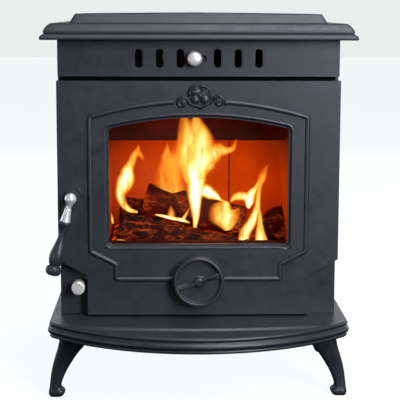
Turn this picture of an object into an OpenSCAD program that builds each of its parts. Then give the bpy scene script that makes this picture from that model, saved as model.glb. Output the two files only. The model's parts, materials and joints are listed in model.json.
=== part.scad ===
// Free-standing cast-iron wood burning stove with one glazed door, on four short cabriole legs.
// Millimetres, +Z up. The origin is on the floor, at the middle of the stove's width and depth.
// The door faces -Y.

/* [Top plate] */
// Width over the lowest step of the top moulding
top_w = 480; // [430:1:560]
// Height of the stove at the crown of the top plate
stove_h = 600; // [560:1:680]
// Height of the underside of the top plate
top_z = 559; // [520:1:640]
// Thickness of the edge of the top plate
top_edge = 25; // [15:1:35]
// Reach of the top plate in front of the front frame
top_nose = 49; // [30:1:80]
// Width of the raised middle of the top plate at its base
crown_w = 394; // [300:1:420]

/* [Body] */
// Width over the side plates
body_w = 432; // [400:1:500]
// Depth from the front frame to the back plate
body_d = 290; // [260:1:360]
// Thickness of the cast plates
wall = 6; // [4:0.5:10]
// Height of the bottom of the upper front panel
panel_z = 503.5; // [480:0.5:540]
// Reach of the upper front panel in front of the frame
panel_d = 20; // [14:1:30]

/* [Hearth plate and legs] */
// Width of the hearth plate
hearth_w = 465; // [430:1:520]
// Height of the top of the hearth plate
hearth_z = 130; // [110:1:170]
// Thickness of the rim of the hearth plate
hearth_t = 24; // [16:1:34]
// Reach of the hearth plate in front of the frame at its middle
hearth_lip = 165; // [110:1:200]
// Radius of the curved front edge
hearth_r = 309; // [280:1:500]
// Sideways distance of each leg from the middle
leg_x = 201; // [170:1:215]

/* [Door] */
// Width of the door
door_w = 434; // [400:1:440]
// Height of the top edge of the door
door_top = 497; // [470:1:500]
// Height of the bottom edge of the door
door_low = 133; // [131:1:150]
// Width of the narrow foot of the door
foot_w = 345; // [330:1:360]
// Depth of the door
door_d = 22; // [18:1:28]
// Thickness of the door's front skin and of its rim
skin = 8; // [6:1:10]
// Width of the window opening
window_w = 277; // [240:1:280]
// Height of the bottom of the window
window_z = 244; // [236:1:260]
// Height of the window at its middle
window_h = 197; // [150:1:200]
// Radius of the arch over the window
arch_r = 577; // [400:1:900]

/* [Handle] */
// Length of the lever from its pivot
lever_len = 121; // [90:1:150]
// Lean of the lever from the vertical, in degrees
lever_lean = 14; // [0:1:25]
// Distance of the pivot from the middle of the door
pivot_x = 195; // [190:1:200]
// Height of the pivot
pivot_z = 320; // [280:1:400]

/* [Air controls] */
// Radius of the spin wheel
wheel_r = 39; // [30:1:45]
// Height of the middle of the spin wheel
wheel_z = 189; // [185:1:200]
// Width of each slot in the upper front panel
slot_w = 11.3; // [8:0.1:13]
// Height of each slot
slot_h = 28.7; // [20:0.1:34]
// Distance between neighbouring slots
slot_pitch = 31.6; // [28:0.1:40]

/* [Flue and riddling] */
// Inside radius of the flue collar
flue_r = 63; // [50:0.5:64]
// Height of the middle of the flue collar
flue_z = 468; // [460:1:480]
// Length of the flue collar behind the back plate
flue_reach = 45; // [30:1:60]
// Travel of the riddling rod
riddle_travel = 40; // [20:1:50]

/* [Hidden] */
$fn = 64;

// Depth layout, front to back
depth = hearth_lip + body_d + flue_reach;
front_y = hearth_lip - depth / 2;
back_y = front_y + body_d;
door_back_y = front_y - 2;
door_y = door_back_y - door_d;
skin_y = door_y + skin;
panel_y = front_y - panel_d;
hearth_arc_y = -depth / 2 + hearth_r;
hearth_back_y = back_y + 10;
top_back_y = back_y + 10;

// Clearances
slip = 0.05;
gap = 0.3;

// Bolts and screws
m8_r = 4;
m6_r = 3;
m5_r = 2.5;
bolt_play = 0.3;
thread_play = 0.1;

// Tie rods, one in each inside corner of the body
rod_x = body_w / 2 - 16;
rod_front_y = front_y + 16;
rod_back_y = back_y - 17;
rod_pad = 10;

// Legs
leg_front_y = front_y - 13;
leg_rear_y = back_y - 50;
leg_rear_x = leg_x + 3;
leg_top = hearth_z - hearth_t;
leg_pad = 40;
stud_up = 14;
stud_down = 20;

// Profile of a leg seen from the front: [outward, height], up the outer face and down the inner one
leg_curve = [
    [34, 0], [35, 7], [33.7, 14], [32.8, 22], [30.3, 40], [26.4, 57], [21.2, 74], [17.5, 89], [16, 106],
    [-36, 106], [-27, 90], [-19, 78], [-11.6, 70], [-3, 57], [5.3, 43], [11, 31], [14.8, 20], [15.2, 14],
    [11.6, 11.5], [9.1, 7.5], [11, 3], [13, 0]
];
// Half the depth of a leg against its height
leg_depth = [[12, 0], [13, 7], [11.5, 14], [11, 25], [11.5, 45], [13.5, 65], [16, 85], [18, 106]];

// Hearth plate
// Bands of the moulded rim under the top face: low, high, set back
rim_bands = [[-3, 0, 4], [-8, -3, 2], [-11, -8, 4.5], [-17, -11, 0], [-19, -17, 4], [-24, -19, 3]];
rim_skin = 8;
rim_wall = 14;
tray_depth = 4;
tray_rim = 11;
tray_r = 1011;
tray_y = -depth / 2 + 66;
tray_tip_y = front_y - 66;

// Firebox
mouth_w = 280;
mouth_low = 155;
mouth_top = 470;
firebox_w = 288;
side_brick_t = 38;
back_brick_t = 27;
brick_z = 224.3;
brick_top = 400;
brick_seam_x = 60;
brick_front_y = front_y + 25;
brick_back_y = back_y - 8;
ledge_t = 6;
grate_w = 314;
grate_t = 12;
grate_z = 212;
grate_front_y = front_y + 15;
grate_back_y = back_y - 37;
bar_w = 9;
bar_pitch = 18;

// Ash pan
pan_w = 252;
pan_low = 155.5;
pan_top = 191;
pan_t = 1.5;
pan_front_y = front_y + 11;
pan_back_y = back_y - 55;

// Baffle over the fire
baffle_t = 7;
baffle_tilt = 8;
baffle_len = 186;
baffle_rear_y = back_y - 37;
lug_z = 422.4;
lip_h = 29;

// Door outline: how far the two lower corners are cut back
cheek_z = 220;
knee_z = 196;
bead_w = 338;
bead_foot_w = 259;
bead_cheek_z = 232;
bead_knee_z = 212;
bead_low = 187.5;
bead_top = 468.6;
bead_width = 5;
bead_h = 3;
field_h = 1.5;

// Rope seal behind the door
rope_w = 10;
rope_d = 8.2;
rope_in_w = 306;
rope_low = 143.5;
rope_top = 483;
channel_lip = 2.8;

// Window
glass_t = 4;
glass_gasket_t = 2;
glass_lap = 8.5;
glass_top = 450;
clip_x = 90;
clip_size = 20;
clip_t = 2;

// Hinges, on a vertical axis inside the right edge of the door
hinge_x = door_w / 2 - 6;
hinge_y = front_y - 12;
hinge_r = 6;
pin_r = 3;
pin_len = 36;
arm_t = 8;
hinge_heights = [242, 452];

// Door handle
spindle_r = 5;
bush_r = 7.5;
bush_front_y = door_y - 7;
lever_y = door_y - 29;
ball_r = 9;
cam_len = 28;
cam_w = 10;
cam_t = 4;
cam_angle = 75;
cam_y = skin_y + 6;
keeper_t = 3;

// Spin wheel on its screw
stud_r = 5;
seat_r = 40.4;
seat_y = door_y - 5;
wheel_back_y = seat_y - 0.4;
wheel_d = 20;
wheel_rim = 5;
wheel_face = 4;
bar_tilt = 17.7;
inlet_r = 8;
inlet_at = 18;

// Airwash slide
slide_z = 531;
slide_t = 2.5;
slide_low = 512;
slide_high = 550;
slide_w = 212;
knob_x = -7;
knob_slot_w = 24;
knob_slot_h = 10;
knob_r = 11.5;

// Riddling gear
riddle_x = 187;
riddle_z = 176;
riddle_r = 5;
riddle_knob_r = 10.25;
riddle_knob_len = 27;
riddle_arm_y = 20;
riddle_plate_w = 224;
riddle_plate_z = 204.3;
riddle_plate_t = 3.4;

// ---- helpers ----

// Extrudes an outline drawn in X and Z from y0 back to y1
module slab_y(y0, y1) {
    translate([0, y1, 0]) rotate([90, 0, 0]) linear_extrude(y1 - y0) children();
}

// Extrudes an outline drawn in Y and Z from x0 to x1
module slab_x(x0, x1) {
    translate([x0, 0, 0]) rotate([90, 0, 90]) linear_extrude(x1 - x0) children();
}

module rod_y(r, y0, y1) {
    translate([0, y1, 0]) rotate([90, 0, 0]) cylinder(r = r, h = y1 - y0);
}

// Turns a profile [radius, distance in front of y] about an axis along Y
module turned_y(y) {
    translate([0, y, 0]) rotate([90, 0, 0]) rotate_extrude() children();
}

module box(x0, x1, y0, y1, z0, z1) {
    translate([x0, y0, z0]) cube([x1 - x0, y1 - y0, z1 - z0]);
}

module hex_y(r, y0, y1) {
    translate([0, y1, 0]) rotate([90, 0, 0]) cylinder(r = r, h = y1 - y0, $fn = 6);
}

module pair_x(x) {
    for (side = [-1, 1]) translate([side * x, 0, 0]) children();
}

module both_sides() {
    children();
    mirror([1, 0, 0]) children();
}

// Outline with cut-back lower corners: width w over cheek_h, width f under knee_h
function inset_rise(w, f, dz) = let (a = atan2(dz, (w - f) / 2)) (1 - sin(a)) / cos(a);
function cut_outline(w, f, top, cheek_h, knee_h, low, i) =
    let (k = i * inset_rise(w, f, cheek_h - knee_h))
    [
        [-w / 2 + i, top - i], [-w / 2 + i, cheek_h + k], [-f / 2 + i, knee_h + k],
        [-f / 2 + i, low + i], [f / 2 - i, low + i], [f / 2 - i, knee_h + k],
        [w / 2 - i, cheek_h + k], [w / 2 - i, top - i]
    ];

module door_outline(i) {
    polygon(cut_outline(door_w, foot_w, door_top, cheek_z, knee_z, door_low, i));
}

module arch(top) {
    translate([0, top - arch_r]) circle(r = arch_r, $fn = 256);
}

module bead_outline(i) {
    intersection() {
        polygon(cut_outline(bead_w, bead_foot_w, bead_top + i, bead_cheek_z, bead_knee_z, bead_low, i));
        arch(bead_top - i);
    }
}

module window_outline(grow) {
    intersection() {
        translate([-window_w / 2 - grow, window_z - grow])
            square([window_w + 2 * grow, window_h + 2 * grow]);
        arch(window_z + window_h + grow);
    }
}

module ring_outline(w_in, low, top, thick) {
    difference() {
        translate([-w_in / 2 - thick, low]) square([w_in + 2 * thick, top - low]);
        translate([-w_in / 2, low + thick]) square([w_in, top - low - 2 * thick]);
    }
}

module round_slot(w, h) {
    if (h > w) {
        translate([-w / 2, -h / 2 + w / 2]) square([w, h - w]);
        for (end = [-1, 1]) translate([0, end * (h - w) / 2]) circle(d = w);
    } else {
        translate([-w / 2 + h / 2, -h / 2]) square([w - h, h]);
        for (end = [-1, 1]) translate([end * (w - h) / 2, 0]) circle(d = h);
    }
}

module airwash_slots(w, h) {
    for (side = [-1, 1])
        for (i = [0:2])
            translate([side * (slot_pitch * i + 28.3), slide_z]) round_slot(w, h);
}

module at_rods() {
    for (side = [-1, 1])
        for (y = [rod_front_y, rod_back_y])
            translate([side * rod_x, y, 0]) children();
}

module at_legs() {
    for (side = [-1, 1]) {
        translate([side * leg_x, leg_front_y, 0]) children();
        translate([side * leg_rear_x, leg_rear_y, 0]) children();
    }
}

// ---- hearth plate and legs ----

module hearth_outline(i) {
    intersection() {
        translate([-hearth_w / 2 + i, -depth / 2 - 1])
            square([hearth_w - 2 * i, hearth_back_y - i + depth / 2 + 1]);
        translate([0, hearth_arc_y]) circle(r = hearth_r - i, $fn = 256);
    }
}

module hearth_pads() {
    at_legs() translate([0, 0, hearth_z - hearth_t / 2]) cube([leg_pad, leg_pad, hearth_t], center = true);
    at_rods() translate([0, 0, leg_top + 6]) cylinder(r = 14, h = hearth_t - 6);
}

module hearth_plate() {
    color([0.16, 0.17, 0.2])
    difference() {
        for (band = rim_bands)
            translate([0, 0, hearth_z + band[0]]) linear_extrude(band[1] - band[0]) hearth_outline(band[2]);
        difference() {
            translate([0, 0, leg_top - 1])
                linear_extrude(hearth_t - rim_skin + 1) hearth_outline(rim_wall);
            hearth_pads();
        }
        translate([0, 0, hearth_z - tray_depth])
            linear_extrude(tray_depth + 1)
                difference() {
                    translate([0, hearth_arc_y]) circle(r = hearth_r - tray_rim, $fn = 256);
                    translate([0, tray_y + tray_r]) circle(r = tray_r, $fn = 256);
                    translate([-hearth_w, tray_tip_y]) square([2 * hearth_w, depth]);
                }
        at_legs() translate([0, 0, leg_top - 1]) cylinder(r = m8_r + thread_play, h = stud_up + 1.5);
        at_rods() translate([0, 0, leg_top]) cylinder(r = m8_r + bolt_play, h = hearth_t + 1);
    }
}

module leg(side, front) {
    x = side * (front ? leg_x : leg_rear_x);
    y = front ? leg_front_y : leg_rear_y;
    color([0.13, 0.14, 0.16])
    difference() {
        intersection() {
            slab_y(-depth, depth) translate([x, 0]) scale([side, 1]) polygon(leg_curve);
            slab_x(-top_w, top_w)
                translate([y, 0])
                    polygon(concat(leg_depth, [for (i = [len(leg_depth) - 1:-1:0]) [-leg_depth[i][0], leg_depth[i][1]]]));
        }
        translate([x, y, leg_top - stud_down - 0.5]) cylinder(r = m8_r + thread_play, h = stud_down + 1);
    }
}

module leg_front_left() { leg(-1, true); }
module leg_front_right() { leg(1, true); }
module leg_rear_left() { leg(-1, false); }
module leg_rear_right() { leg(1, false); }

module leg_studs() {
    color([0.5, 0.5, 0.52])
    at_legs() translate([0, 0, leg_top - stud_down]) cylinder(r = m8_r, h = stud_down + stud_up);
}

// ---- body shell ----

module left_plate() {
    x0 = -body_w / 2;
    x1 = x0 + wall;
    box(x0, x1, front_y + wall, back_y - wall, hearth_z, top_z);
    // ledge under the side brick
    box(x1 - 1, -firebox_w / 2 - 16, brick_front_y, grate_back_y, brick_z - gap - ledge_t, brick_z - gap);
    // ledge under the grate
    box(x1 - 1, -grate_w / 2 + 10, brick_front_y, grate_back_y, grate_z - ledge_t, grate_z);
    // lug under the front of the baffle
    box(x1 - 1, x1 + 14, front_y + 77, front_y + 92, lug_z - 12, lug_z);
}

module side_left() { color([0.15, 0.16, 0.19]) left_plate(); }
module side_right() { color([0.15, 0.16, 0.19]) mirror([1, 0, 0]) left_plate(); }

module back_plate() {
    color([0.14, 0.15, 0.17])
    difference() {
        union() {
            box(-body_w / 2, body_w / 2, back_y - wall, back_y, hearth_z, top_z);
            box(-rod_x + 12, rod_x - 12, brick_back_y - 24, back_y - wall + 1,
                brick_z - gap - ledge_t, brick_z - gap);
        }
        translate([0, 0, flue_z]) rod_y(flue_r + 1, back_y - 30, back_y + 1);
        flue_bolt_places() rod_y(m6_r + thread_play, back_y - 30, back_y + 1);
    }
}

module front_frame() {
    color([0.15, 0.16, 0.19])
    difference() {
        box(-body_w / 2, body_w / 2, front_y, front_y + wall, hearth_z, top_z);
        box(-mouth_w / 2, mouth_w / 2, front_y - 1, front_y + wall + 1, mouth_low, mouth_top);
        translate([0, 0, slide_z]) box(-100, 100, front_y - 1, front_y + wall + 1, -13, 15);
        translate([-riddle_x, 0, riddle_z]) rod_y(riddle_r + 4, front_y - 1, front_y + wall + 1);
        panel_screw_places() rod_y(m5_r + bolt_play, front_y - 1, front_y + wall + 1);
    }
}

module panel_screw_places() {
    for (side = [-1, 1])
        for (z = [panel_z + 14, top_z - 14])
            translate([side * (body_w / 2 - 15), 0, z]) children();
}

module upper_front_panel() {
    t = 5;
    w = body_w / 2 - 1;
    color([0.16, 0.17, 0.2])
    difference() {
        union() {
            difference() {
                box(-w, w, panel_y, front_y, panel_z, top_z);
                box(-w + t, w - t, panel_y + t, front_y + 1, panel_z + t, top_z - t);
            }
            panel_screw_places() rod_y(6, panel_y + 1, front_y);
        }
        slab_y(panel_y - 1, panel_y + t + 1) airwash_slots(slot_w, slot_h);
        slab_y(panel_y - 1, panel_y + 1) airwash_slots(slot_w + 4, slot_h + 4);
        slab_y(panel_y - 1, panel_y + t + 1) translate([0, slide_z]) round_slot(knob_slot_w, knob_slot_h);
        panel_screw_places() rod_y(m5_r + thread_play, panel_y + 6, front_y + 1);
    }
}

module panel_screws() {
    color([0.45, 0.45, 0.47])
    panel_screw_places() {
        rod_y(m5_r, panel_y + 7, front_y + wall + 0.5);
        rod_y(5, front_y + wall, front_y + wall + 3);
    }
}

// ---- top plate and tie rods ----

module top_tier(z0, z1, i) {
    box(-top_w / 2 + i, top_w / 2 - i, front_y - top_nose + i, top_back_y - i / 2, z0, z1);
}

module top_plate() {
    base = top_z + top_edge;
    high = stove_h - 2;
    slope = 8.5;
    crown_y0 = front_y - 10;
    crown_y1 = back_y - 15;
    color([0.17, 0.18, 0.21])
    difference() {
        union() {
            top_tier(top_z, top_z + 10, 0);
            top_tier(top_z + 9, base - 4, 5);
            top_tier(base - 5, base, 11);
            intersection() {
                slab_y(-depth, depth)
                    polygon([
                        [-crown_w / 2, base - 1], [-crown_w / 2, base], [-crown_w / 2 + slope, high],
                        [0, stove_h], [crown_w / 2 - slope, high], [crown_w / 2, base],
                        [crown_w / 2, base - 1]
                    ]);
                slab_x(-top_w, top_w)
                    polygon([
                        [crown_y0, base - 1], [crown_y0, base], [crown_y0 + slope, stove_h + 1],
                        [crown_y1 - slope, stove_h + 1], [crown_y1, base], [crown_y1, base - 1]
                    ]);
            }
        }
        difference() {
            box(-rod_x - 4, rod_x + 4, front_y + 12, back_y - 12, top_z - 1, base - 8);
            at_rods() translate([0, 0, top_z - 2]) cylinder(r = rod_pad, h = top_edge + 4);
        }
        box(-crown_w / 2 + 20, crown_w / 2 - 20, crown_y0 + 22, crown_y1 - 22, top_z, stove_h - 10);
        at_rods() translate([0, 0, top_z - 1]) cylinder(r = m8_r + thread_play, h = 15);
    }
}

module tie_rods() {
    color([0.5, 0.5, 0.52])
    at_rods() translate([0, 0, leg_top - 2]) cylinder(r = m8_r, h = top_z + 13 - leg_top + 2);
}

module tie_rod_nuts() {
    color([0.55, 0.55, 0.57])
    at_rods()
        difference() {
            translate([0, 0, leg_top - 0.5]) cylinder(r = 7.5, h = 6.5, $fn = 6);
            translate([0, 0, leg_top - 1]) cylinder(r = m8_r + thread_play, h = 8);
        }
}

// ---- flue ----

module flue_bolt_places() {
    for (a = [45:90:315])
        translate([78 * cos(a), 0, flue_z + 78 * sin(a)]) children();
}

module flue_collar() {
    flange_r = 88;
    flange_t = 7;
    gasket_t = 3;
    color([0.13, 0.14, 0.16])
    difference() {
        union() {
            translate([0, 0, flue_z]) rod_y(flange_r, back_y + gasket_t, back_y + gasket_t + flange_t);
            translate([0, 0, flue_z]) rod_y(flue_r + 6, back_y + gasket_t, back_y + flue_reach);
        }
        translate([0, 0, flue_z]) rod_y(flue_r, back_y, back_y + flue_reach + 1);
        flue_bolt_places() rod_y(m6_r + bolt_play, back_y, back_y + 20);
    }
}

module flue_gasket() {
    color([0.8, 0.78, 0.72])
    difference() {
        translate([0, 0, flue_z]) rod_y(87, back_y, back_y + 3);
        translate([0, 0, flue_z]) rod_y(flue_r + 1, back_y - 1, back_y + 4);
        flue_bolt_places() rod_y(m6_r + bolt_play, back_y - 1, back_y + 4);
    }
}

module flue_bolts() {
    color([0.5, 0.5, 0.52])
    flue_bolt_places() {
        rod_y(m6_r, back_y - 7, back_y + 10.5);
        hex_y(5.7, back_y + 10, back_y + 14);
    }
}

// ---- firebox lining ----

module brick_left() {
    x1 = -firebox_w / 2;
    color([0.72, 0.6, 0.45])
    box(x1 - side_brick_t, x1, brick_front_y, grate_back_y, brick_z, brick_top);
}

module brick_right() { mirror([1, 0, 0]) brick_left(); }

module brick_back_wide() {
    color([0.72, 0.6, 0.45])
    box(-rod_x + 8, brick_seam_x, brick_back_y - back_brick_t, brick_back_y, brick_z, brick_top);
}

module brick_back_narrow() {
    color([0.72, 0.6, 0.45])
    box(brick_seam_x + 0.6, rod_x - 8, brick_back_y - back_brick_t, brick_back_y, brick_z, brick_top);
}

module baffle_plate() {
    color([0.2, 0.17, 0.16])
    translate([0, baffle_rear_y, brick_top + gap])
        rotate([-baffle_tilt, 0, 0]) {
            box(-body_w / 2 + wall + 3, body_w / 2 - wall - 3, -baffle_len, 0, 0, baffle_t);
            box(-firebox_w / 2 + 2, firebox_w / 2 - 2, -baffle_len, -baffle_len + baffle_t, -lip_h, 0.5);
            box(-firebox_w / 2 + 2, firebox_w / 2 - 2, -baffle_len - 3, -baffle_len + 1, -lip_h / 2, 0.5);
        }
}

module grate() {
    inner_w = 232;
    color([0.2, 0.2, 0.21]) {
        difference() {
            box(-grate_w / 2, grate_w / 2, grate_front_y, grate_back_y, grate_z, grate_z + grate_t);
            box(-inner_w / 2, inner_w / 2, grate_front_y + 24, grate_back_y - 24, grate_z - 1, grate_z + grate_t + 1);
        }
        for (x = [-6:6])
            box(x * bar_pitch - bar_w / 2, x * bar_pitch + bar_w / 2,
                grate_front_y + 23, grate_back_y - 23, grate_z + 2, grate_z + grate_t);
    }
}

module log_guard() {
    z0 = grate_z + grate_t;
    color([0.2, 0.2, 0.21]) {
        box(-155, 155, grate_front_y + 2, grate_front_y + 10, z0 + 12, z0 + 18);
        for (x = [-6:6])
            box(x * 25 - 3.5, x * 25 + 3.5, grate_front_y + 2, grate_front_y + 10, z0, z0 + 12.5);
    }
}

module riddle_rails() {
    y0 = grate_front_y;
    y1 = riddle_arm_y + 112;
    z0 = riddle_plate_z - gap - 3.5;
    x0 = riddle_plate_w / 2 + gap;
    color([0.3, 0.3, 0.31])
    both_sides() {
        box(x0 - 6, x0 + 7, y0, y1, z0, riddle_plate_z - gap);
        box(x0, x0 + 7, y0, y1, z0, grate_z);
    }
}

// ---- ash pan ----

module pan_rails() {
    color([0.2, 0.2, 0.21])
    both_sides() box(95, 120, front_y + wall + 1, pan_back_y, hearth_z, pan_low);
}

module ash_pan() {
    w = pan_w / 2;
    color([0.35, 0.35, 0.37])
    difference() {
        box(-w, w, pan_front_y, pan_back_y, pan_low, pan_top);
        box(-w + pan_t, w - pan_t, pan_front_y + pan_t, pan_back_y - pan_t, pan_low + pan_t, pan_top + 1);
    }
}

module ash_pan_handle() {
    z = (pan_low + pan_top) / 2;
    color([0.6, 0.6, 0.62]) {
        translate([-26, pan_front_y - 9, z]) rotate([0, 90, 0]) cylinder(r = m6_r, h = 52);
        pair_x(23) translate([0, 0, z]) rod_y(m6_r, pan_front_y - 9, pan_front_y);
    }
}

// ---- hinges and latch keeper ----

module hinge_brackets() {
    x0 = body_w / 2 - 40;
    color([0.22, 0.23, 0.25])
    for (z = hinge_heights)
        difference() {
            union() {
                translate([hinge_x, hinge_y, z - arm_t / 2]) cylinder(r = hinge_r, h = arm_t);
                box(hinge_x - hinge_r, hinge_x + hinge_r - 1, hinge_y, front_y, z - arm_t / 2, z + arm_t / 2);
                box(x0, hinge_x, front_y - keeper_t, front_y, z - arm_t / 2, z + arm_t / 2);
                box(x0, x0 + 22, front_y - keeper_t, front_y, z - 13, z + 13);
            }
            translate([hinge_x, hinge_y, z - arm_t]) cylinder(r = pin_r, h = 2 * arm_t);
            hinge_screw_places(z) rod_y(m5_r + bolt_play, front_y - 10, front_y + 1);
        }
}

module hinge_screw_places(z) {
    for (dz = [-8.5, 8.5])
        translate([body_w / 2 - 29, 0, z + dz]) children();
}

module hinge_pins() {
    color([0.6, 0.6, 0.62])
    for (z = hinge_heights)
        translate([hinge_x, hinge_y, z - pin_len / 2]) cylinder(r = pin_r, h = pin_len);
}

module hinge_screws() {
    color([0.5, 0.5, 0.52])
    for (z = hinge_heights)
        hinge_screw_places(z) {
            rod_y(m5_r, front_y - keeper_t - 0.5, front_y);
            rod_y(4.2, front_y - keeper_t - 2, front_y - keeper_t);
        }
}

module latch_keeper() {
    x0 = -pivot_x - 11;
    z0 = pivot_z + 18;
    lip_y = cam_y - 4;
    color([0.3, 0.31, 0.33])
    difference() {
        union() {
            box(x0, x0 + 24, front_y - keeper_t, front_y, z0, z0 + 28);
            box(x0, x0 + keeper_t, lip_y, front_y, z0, z0 + 10);
            box(x0, x0 + 10, lip_y, lip_y + keeper_t, z0, z0 + 10);
        }
        keeper_screw_places() rod_y(m5_r + bolt_play, front_y - 10, front_y + 1);
    }
}

module keeper_screw_places() {
    for (dx = [6, 18])
        translate([-pivot_x - 11 + dx, 0, pivot_z + 38]) children();
}

module keeper_screws() {
    color([0.5, 0.5, 0.52])
    keeper_screw_places() {
        rod_y(m5_r, front_y - keeper_t - 0.5, front_y);
        rod_y(4.2, front_y - keeper_t - 2, front_y - keeper_t);
    }
}

// ---- door ----

module hinge_cutouts() {
    for (z = hinge_heights)
        box(hinge_x - 9, hinge_x + 10, hinge_y - 8.5, door_back_y + 1, z - arm_t / 2 - 1, z + arm_t / 2 + 1);
}

module rope_channel() {
    difference() {
        slab_y(skin_y - 1, door_back_y - 3)
            difference() {
                ring_outline(rope_in_w - 2 * channel_lip, rope_low - channel_lip, rope_top + channel_lip,
                             rope_w + 2 * channel_lip);
                door_rim_clear();
            }
        slab_y(skin_y + 7.2, door_back_y)
            ring_outline(rope_in_w, rope_low, rope_top, rope_w);
    }
}

// Everything outside the door's outline
module door_rim_clear() {
    difference() {
        translate([-door_w, 0]) square([2 * door_w, 2 * door_top]);
        door_outline(1);
    }
}

module door_beads() {
    slab_y(door_y - bead_h, door_y + 1)
        difference() {
            bead_outline(0);
            bead_outline(bead_width);
            translate([-39, bead_top - 20]) square([81, 40]);
        }
    slab_y(door_y - field_h, door_y + 1) bead_outline(bead_width / 2);
}

module door_panel() {
    color([0.16, 0.17, 0.2])
    difference() {
        union() {
            difference() {
                slab_y(door_y, door_back_y) door_outline(0);
                slab_y(skin_y, door_back_y + 1) door_outline(skin);
            }
            door_beads();
            rope_channel();
            translate([0, 0, wheel_z]) rod_y(seat_r, seat_y, door_y + 1);
            translate([0, 0, wheel_z]) rod_y(12, skin_y - 1, skin_y + 1);
            translate([-pivot_x, 0, pivot_z]) rod_y(12, door_y - 4, door_y + 1);
            translate([-pivot_x + 14, door_y + 1, pivot_z + 3])
                rotate([0, -40, 0]) translate([-6, -3, -1.5]) cube([12, 3, 3]);
            for (z = hinge_heights)
                translate([hinge_x, hinge_y, z - 22]) cylinder(r = hinge_r, h = 44);
            clip_places() rod_y(7, skin_y - 1, skin_y + glass_gasket_t + glass_t);
        }
        slab_y(door_y - 5, skin_y + 1) window_outline(0);
        slab_y(door_y - 5, door_y + 1) window_outline(6);
        slab_y(door_y - 5, door_y + 3) window_outline(3);
        translate([0, 0, wheel_z]) {
            rod_y(28, seat_y - 1, door_y - 1);
            rod_y(stud_r + thread_play, door_y - 2, skin_y + 2);
            for (a = [45:90:315])
                translate([inlet_at * cos(a), 0, inlet_at * sin(a)]) rod_y(inlet_r, door_y - 2, skin_y + 2);
        }
        translate([-pivot_x, 0, pivot_z]) rod_y(bush_r, door_y - 5, skin_y + 1);
        hinge_cutouts();
        for (z = hinge_heights)
            translate([hinge_x, hinge_y, z - pin_len / 2 - 0.5]) cylinder(r = pin_r + slip, h = pin_len + 1);
        clip_places() rod_y(m5_r + thread_play, skin_y - 4, skin_y + 8);
    }
}

module clip_places() {
    for (side = [-1, 1])
        for (z = [glass_top + 9, window_z - glass_lap - 9])
            translate([side * clip_x, 0, z]) children();
}

// Flower with two petals, two lobes and a drop, between two scrolls
module door_ornament() {
    flower_z = 472;
    color([0.17, 0.18, 0.21]) {
        slab_y(door_y - 5, door_y - field_h)
            difference() {
                union() {
                    for (side = [-1, 1]) {
                        translate([side * 7.5, flower_z + 8]) circle(r = 9.5);
                        translate([side * 8, flower_z - 6]) circle(r = 7.5);
                    }
                    translate([0, flower_z + 2]) circle(r = 9);
                    translate([0, flower_z - 14.5]) circle(r = 4);
                    translate([-38, 457.5]) square([78, 4]);
                }
                window_outline(10);
            }
        for (x = [-27, 30])
            translate([x, 0, 466]) {
                rod_y(7, door_y - 5, door_y - field_h);
                rod_y(3.5, door_y - 7, door_y - 4);
            }
    }
}

module window_glass() {
    w = window_w / 2 + glass_lap;
    y0 = skin_y + glass_gasket_t;
    color([0.7, 0.75, 0.78, 0.4]) box(-w, w, y0, y0 + glass_t, window_z - glass_lap, glass_top);
}

module glass_gasket() {
    w = window_w / 2 + glass_lap;
    color([0.75, 0.73, 0.68])
    slab_y(skin_y, skin_y + glass_gasket_t)
        difference() {
            translate([-w, window_z - glass_lap]) square([2 * w, glass_top - window_z + glass_lap]);
            window_outline(1);
        }
}

module glass_clips() {
    y0 = skin_y + glass_gasket_t + glass_t;
    color([0.5, 0.5, 0.52])
    difference() {
        for (side = [-1, 1]) {
            translate([side * clip_x, y0, glass_top + 5.5]) box(-9, 9, 0, clip_t, -clip_size / 2, clip_size / 2);
            translate([side * clip_x, y0, window_z - glass_lap - 5.5])
                box(-9, 9, 0, clip_t, -clip_size / 2, clip_size / 2);
        }
        clip_places() rod_y(m5_r + bolt_play, skin_y, door_back_y);
    }
}

module clip_screws() {
    y0 = skin_y + glass_gasket_t + glass_t + clip_t;
    color([0.55, 0.55, 0.57])
    clip_places() {
        rod_y(m5_r, skin_y - 2, y0 + 0.5);
        rod_y(4.2, y0, y0 + 1.8);
    }
}

module door_rope() {
    color([0.75, 0.73, 0.68])
    slab_y(front_y - gap - rope_d, front_y - gap) ring_outline(rope_in_w, rope_low, rope_top, rope_w);
}

// ---- door handle ----

module handle_bush() {
    color([0.6, 0.55, 0.4])
    translate([-pivot_x, 0, pivot_z])
        difference() {
            rod_y(bush_r, bush_front_y, skin_y + 3);
            rod_y(spindle_r + slip, bush_front_y - 1, skin_y + 4);
        }
}

module handle_spindle() {
    color([0.7, 0.7, 0.72])
    translate([-pivot_x, 0, pivot_z]) {
        rod_y(spindle_r, bush_front_y - 0.5, cam_y + cam_t + 3.2);
        rod_y(spindle_r + 1.5, lever_y + 1, bush_front_y - gap);
    }
}

module on_lever() {
    translate([-pivot_x, lever_y, pivot_z]) rotate([0, 180 + lever_lean, 0]) children();
}

module handle_lever() {
    shank = 36;
    color([0.75, 0.75, 0.77])
    on_lever()
        difference() {
            union() {
                sphere(r = ball_r);
                rotate_extrude()
                    polygon([[0, 0], [4.5, 0], [4.5, 12], [5.5, 22], [7.5, 33], [8, shank], [0, shank]]);
            }
            rotate([0, -180 - lever_lean, 0]) rod_y(spindle_r + 1.5, 1, 20);
        }
}

module handle_grip() {
    z0 = 36;
    grip_h = lever_len - z0;
    color([0.1, 0.1, 0.11])
    on_lever()
        translate([0, 0, z0]) {
            rotate_extrude()
                polygon([
                    [0, 0], [9, 0], [9.5, 2], [9.5, 5], [8, 8], [5.5, 12], [6, 17], [8.5, 26], [10.5, 36],
                    [11, 44], [10, 54], [7.5, 63], [5.5, 68], [6.5, grip_h - 12], [0, grip_h - 12]
                ]);
            translate([0, 0, grip_h - 11]) sphere(r = 11);
        }
}

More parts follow.
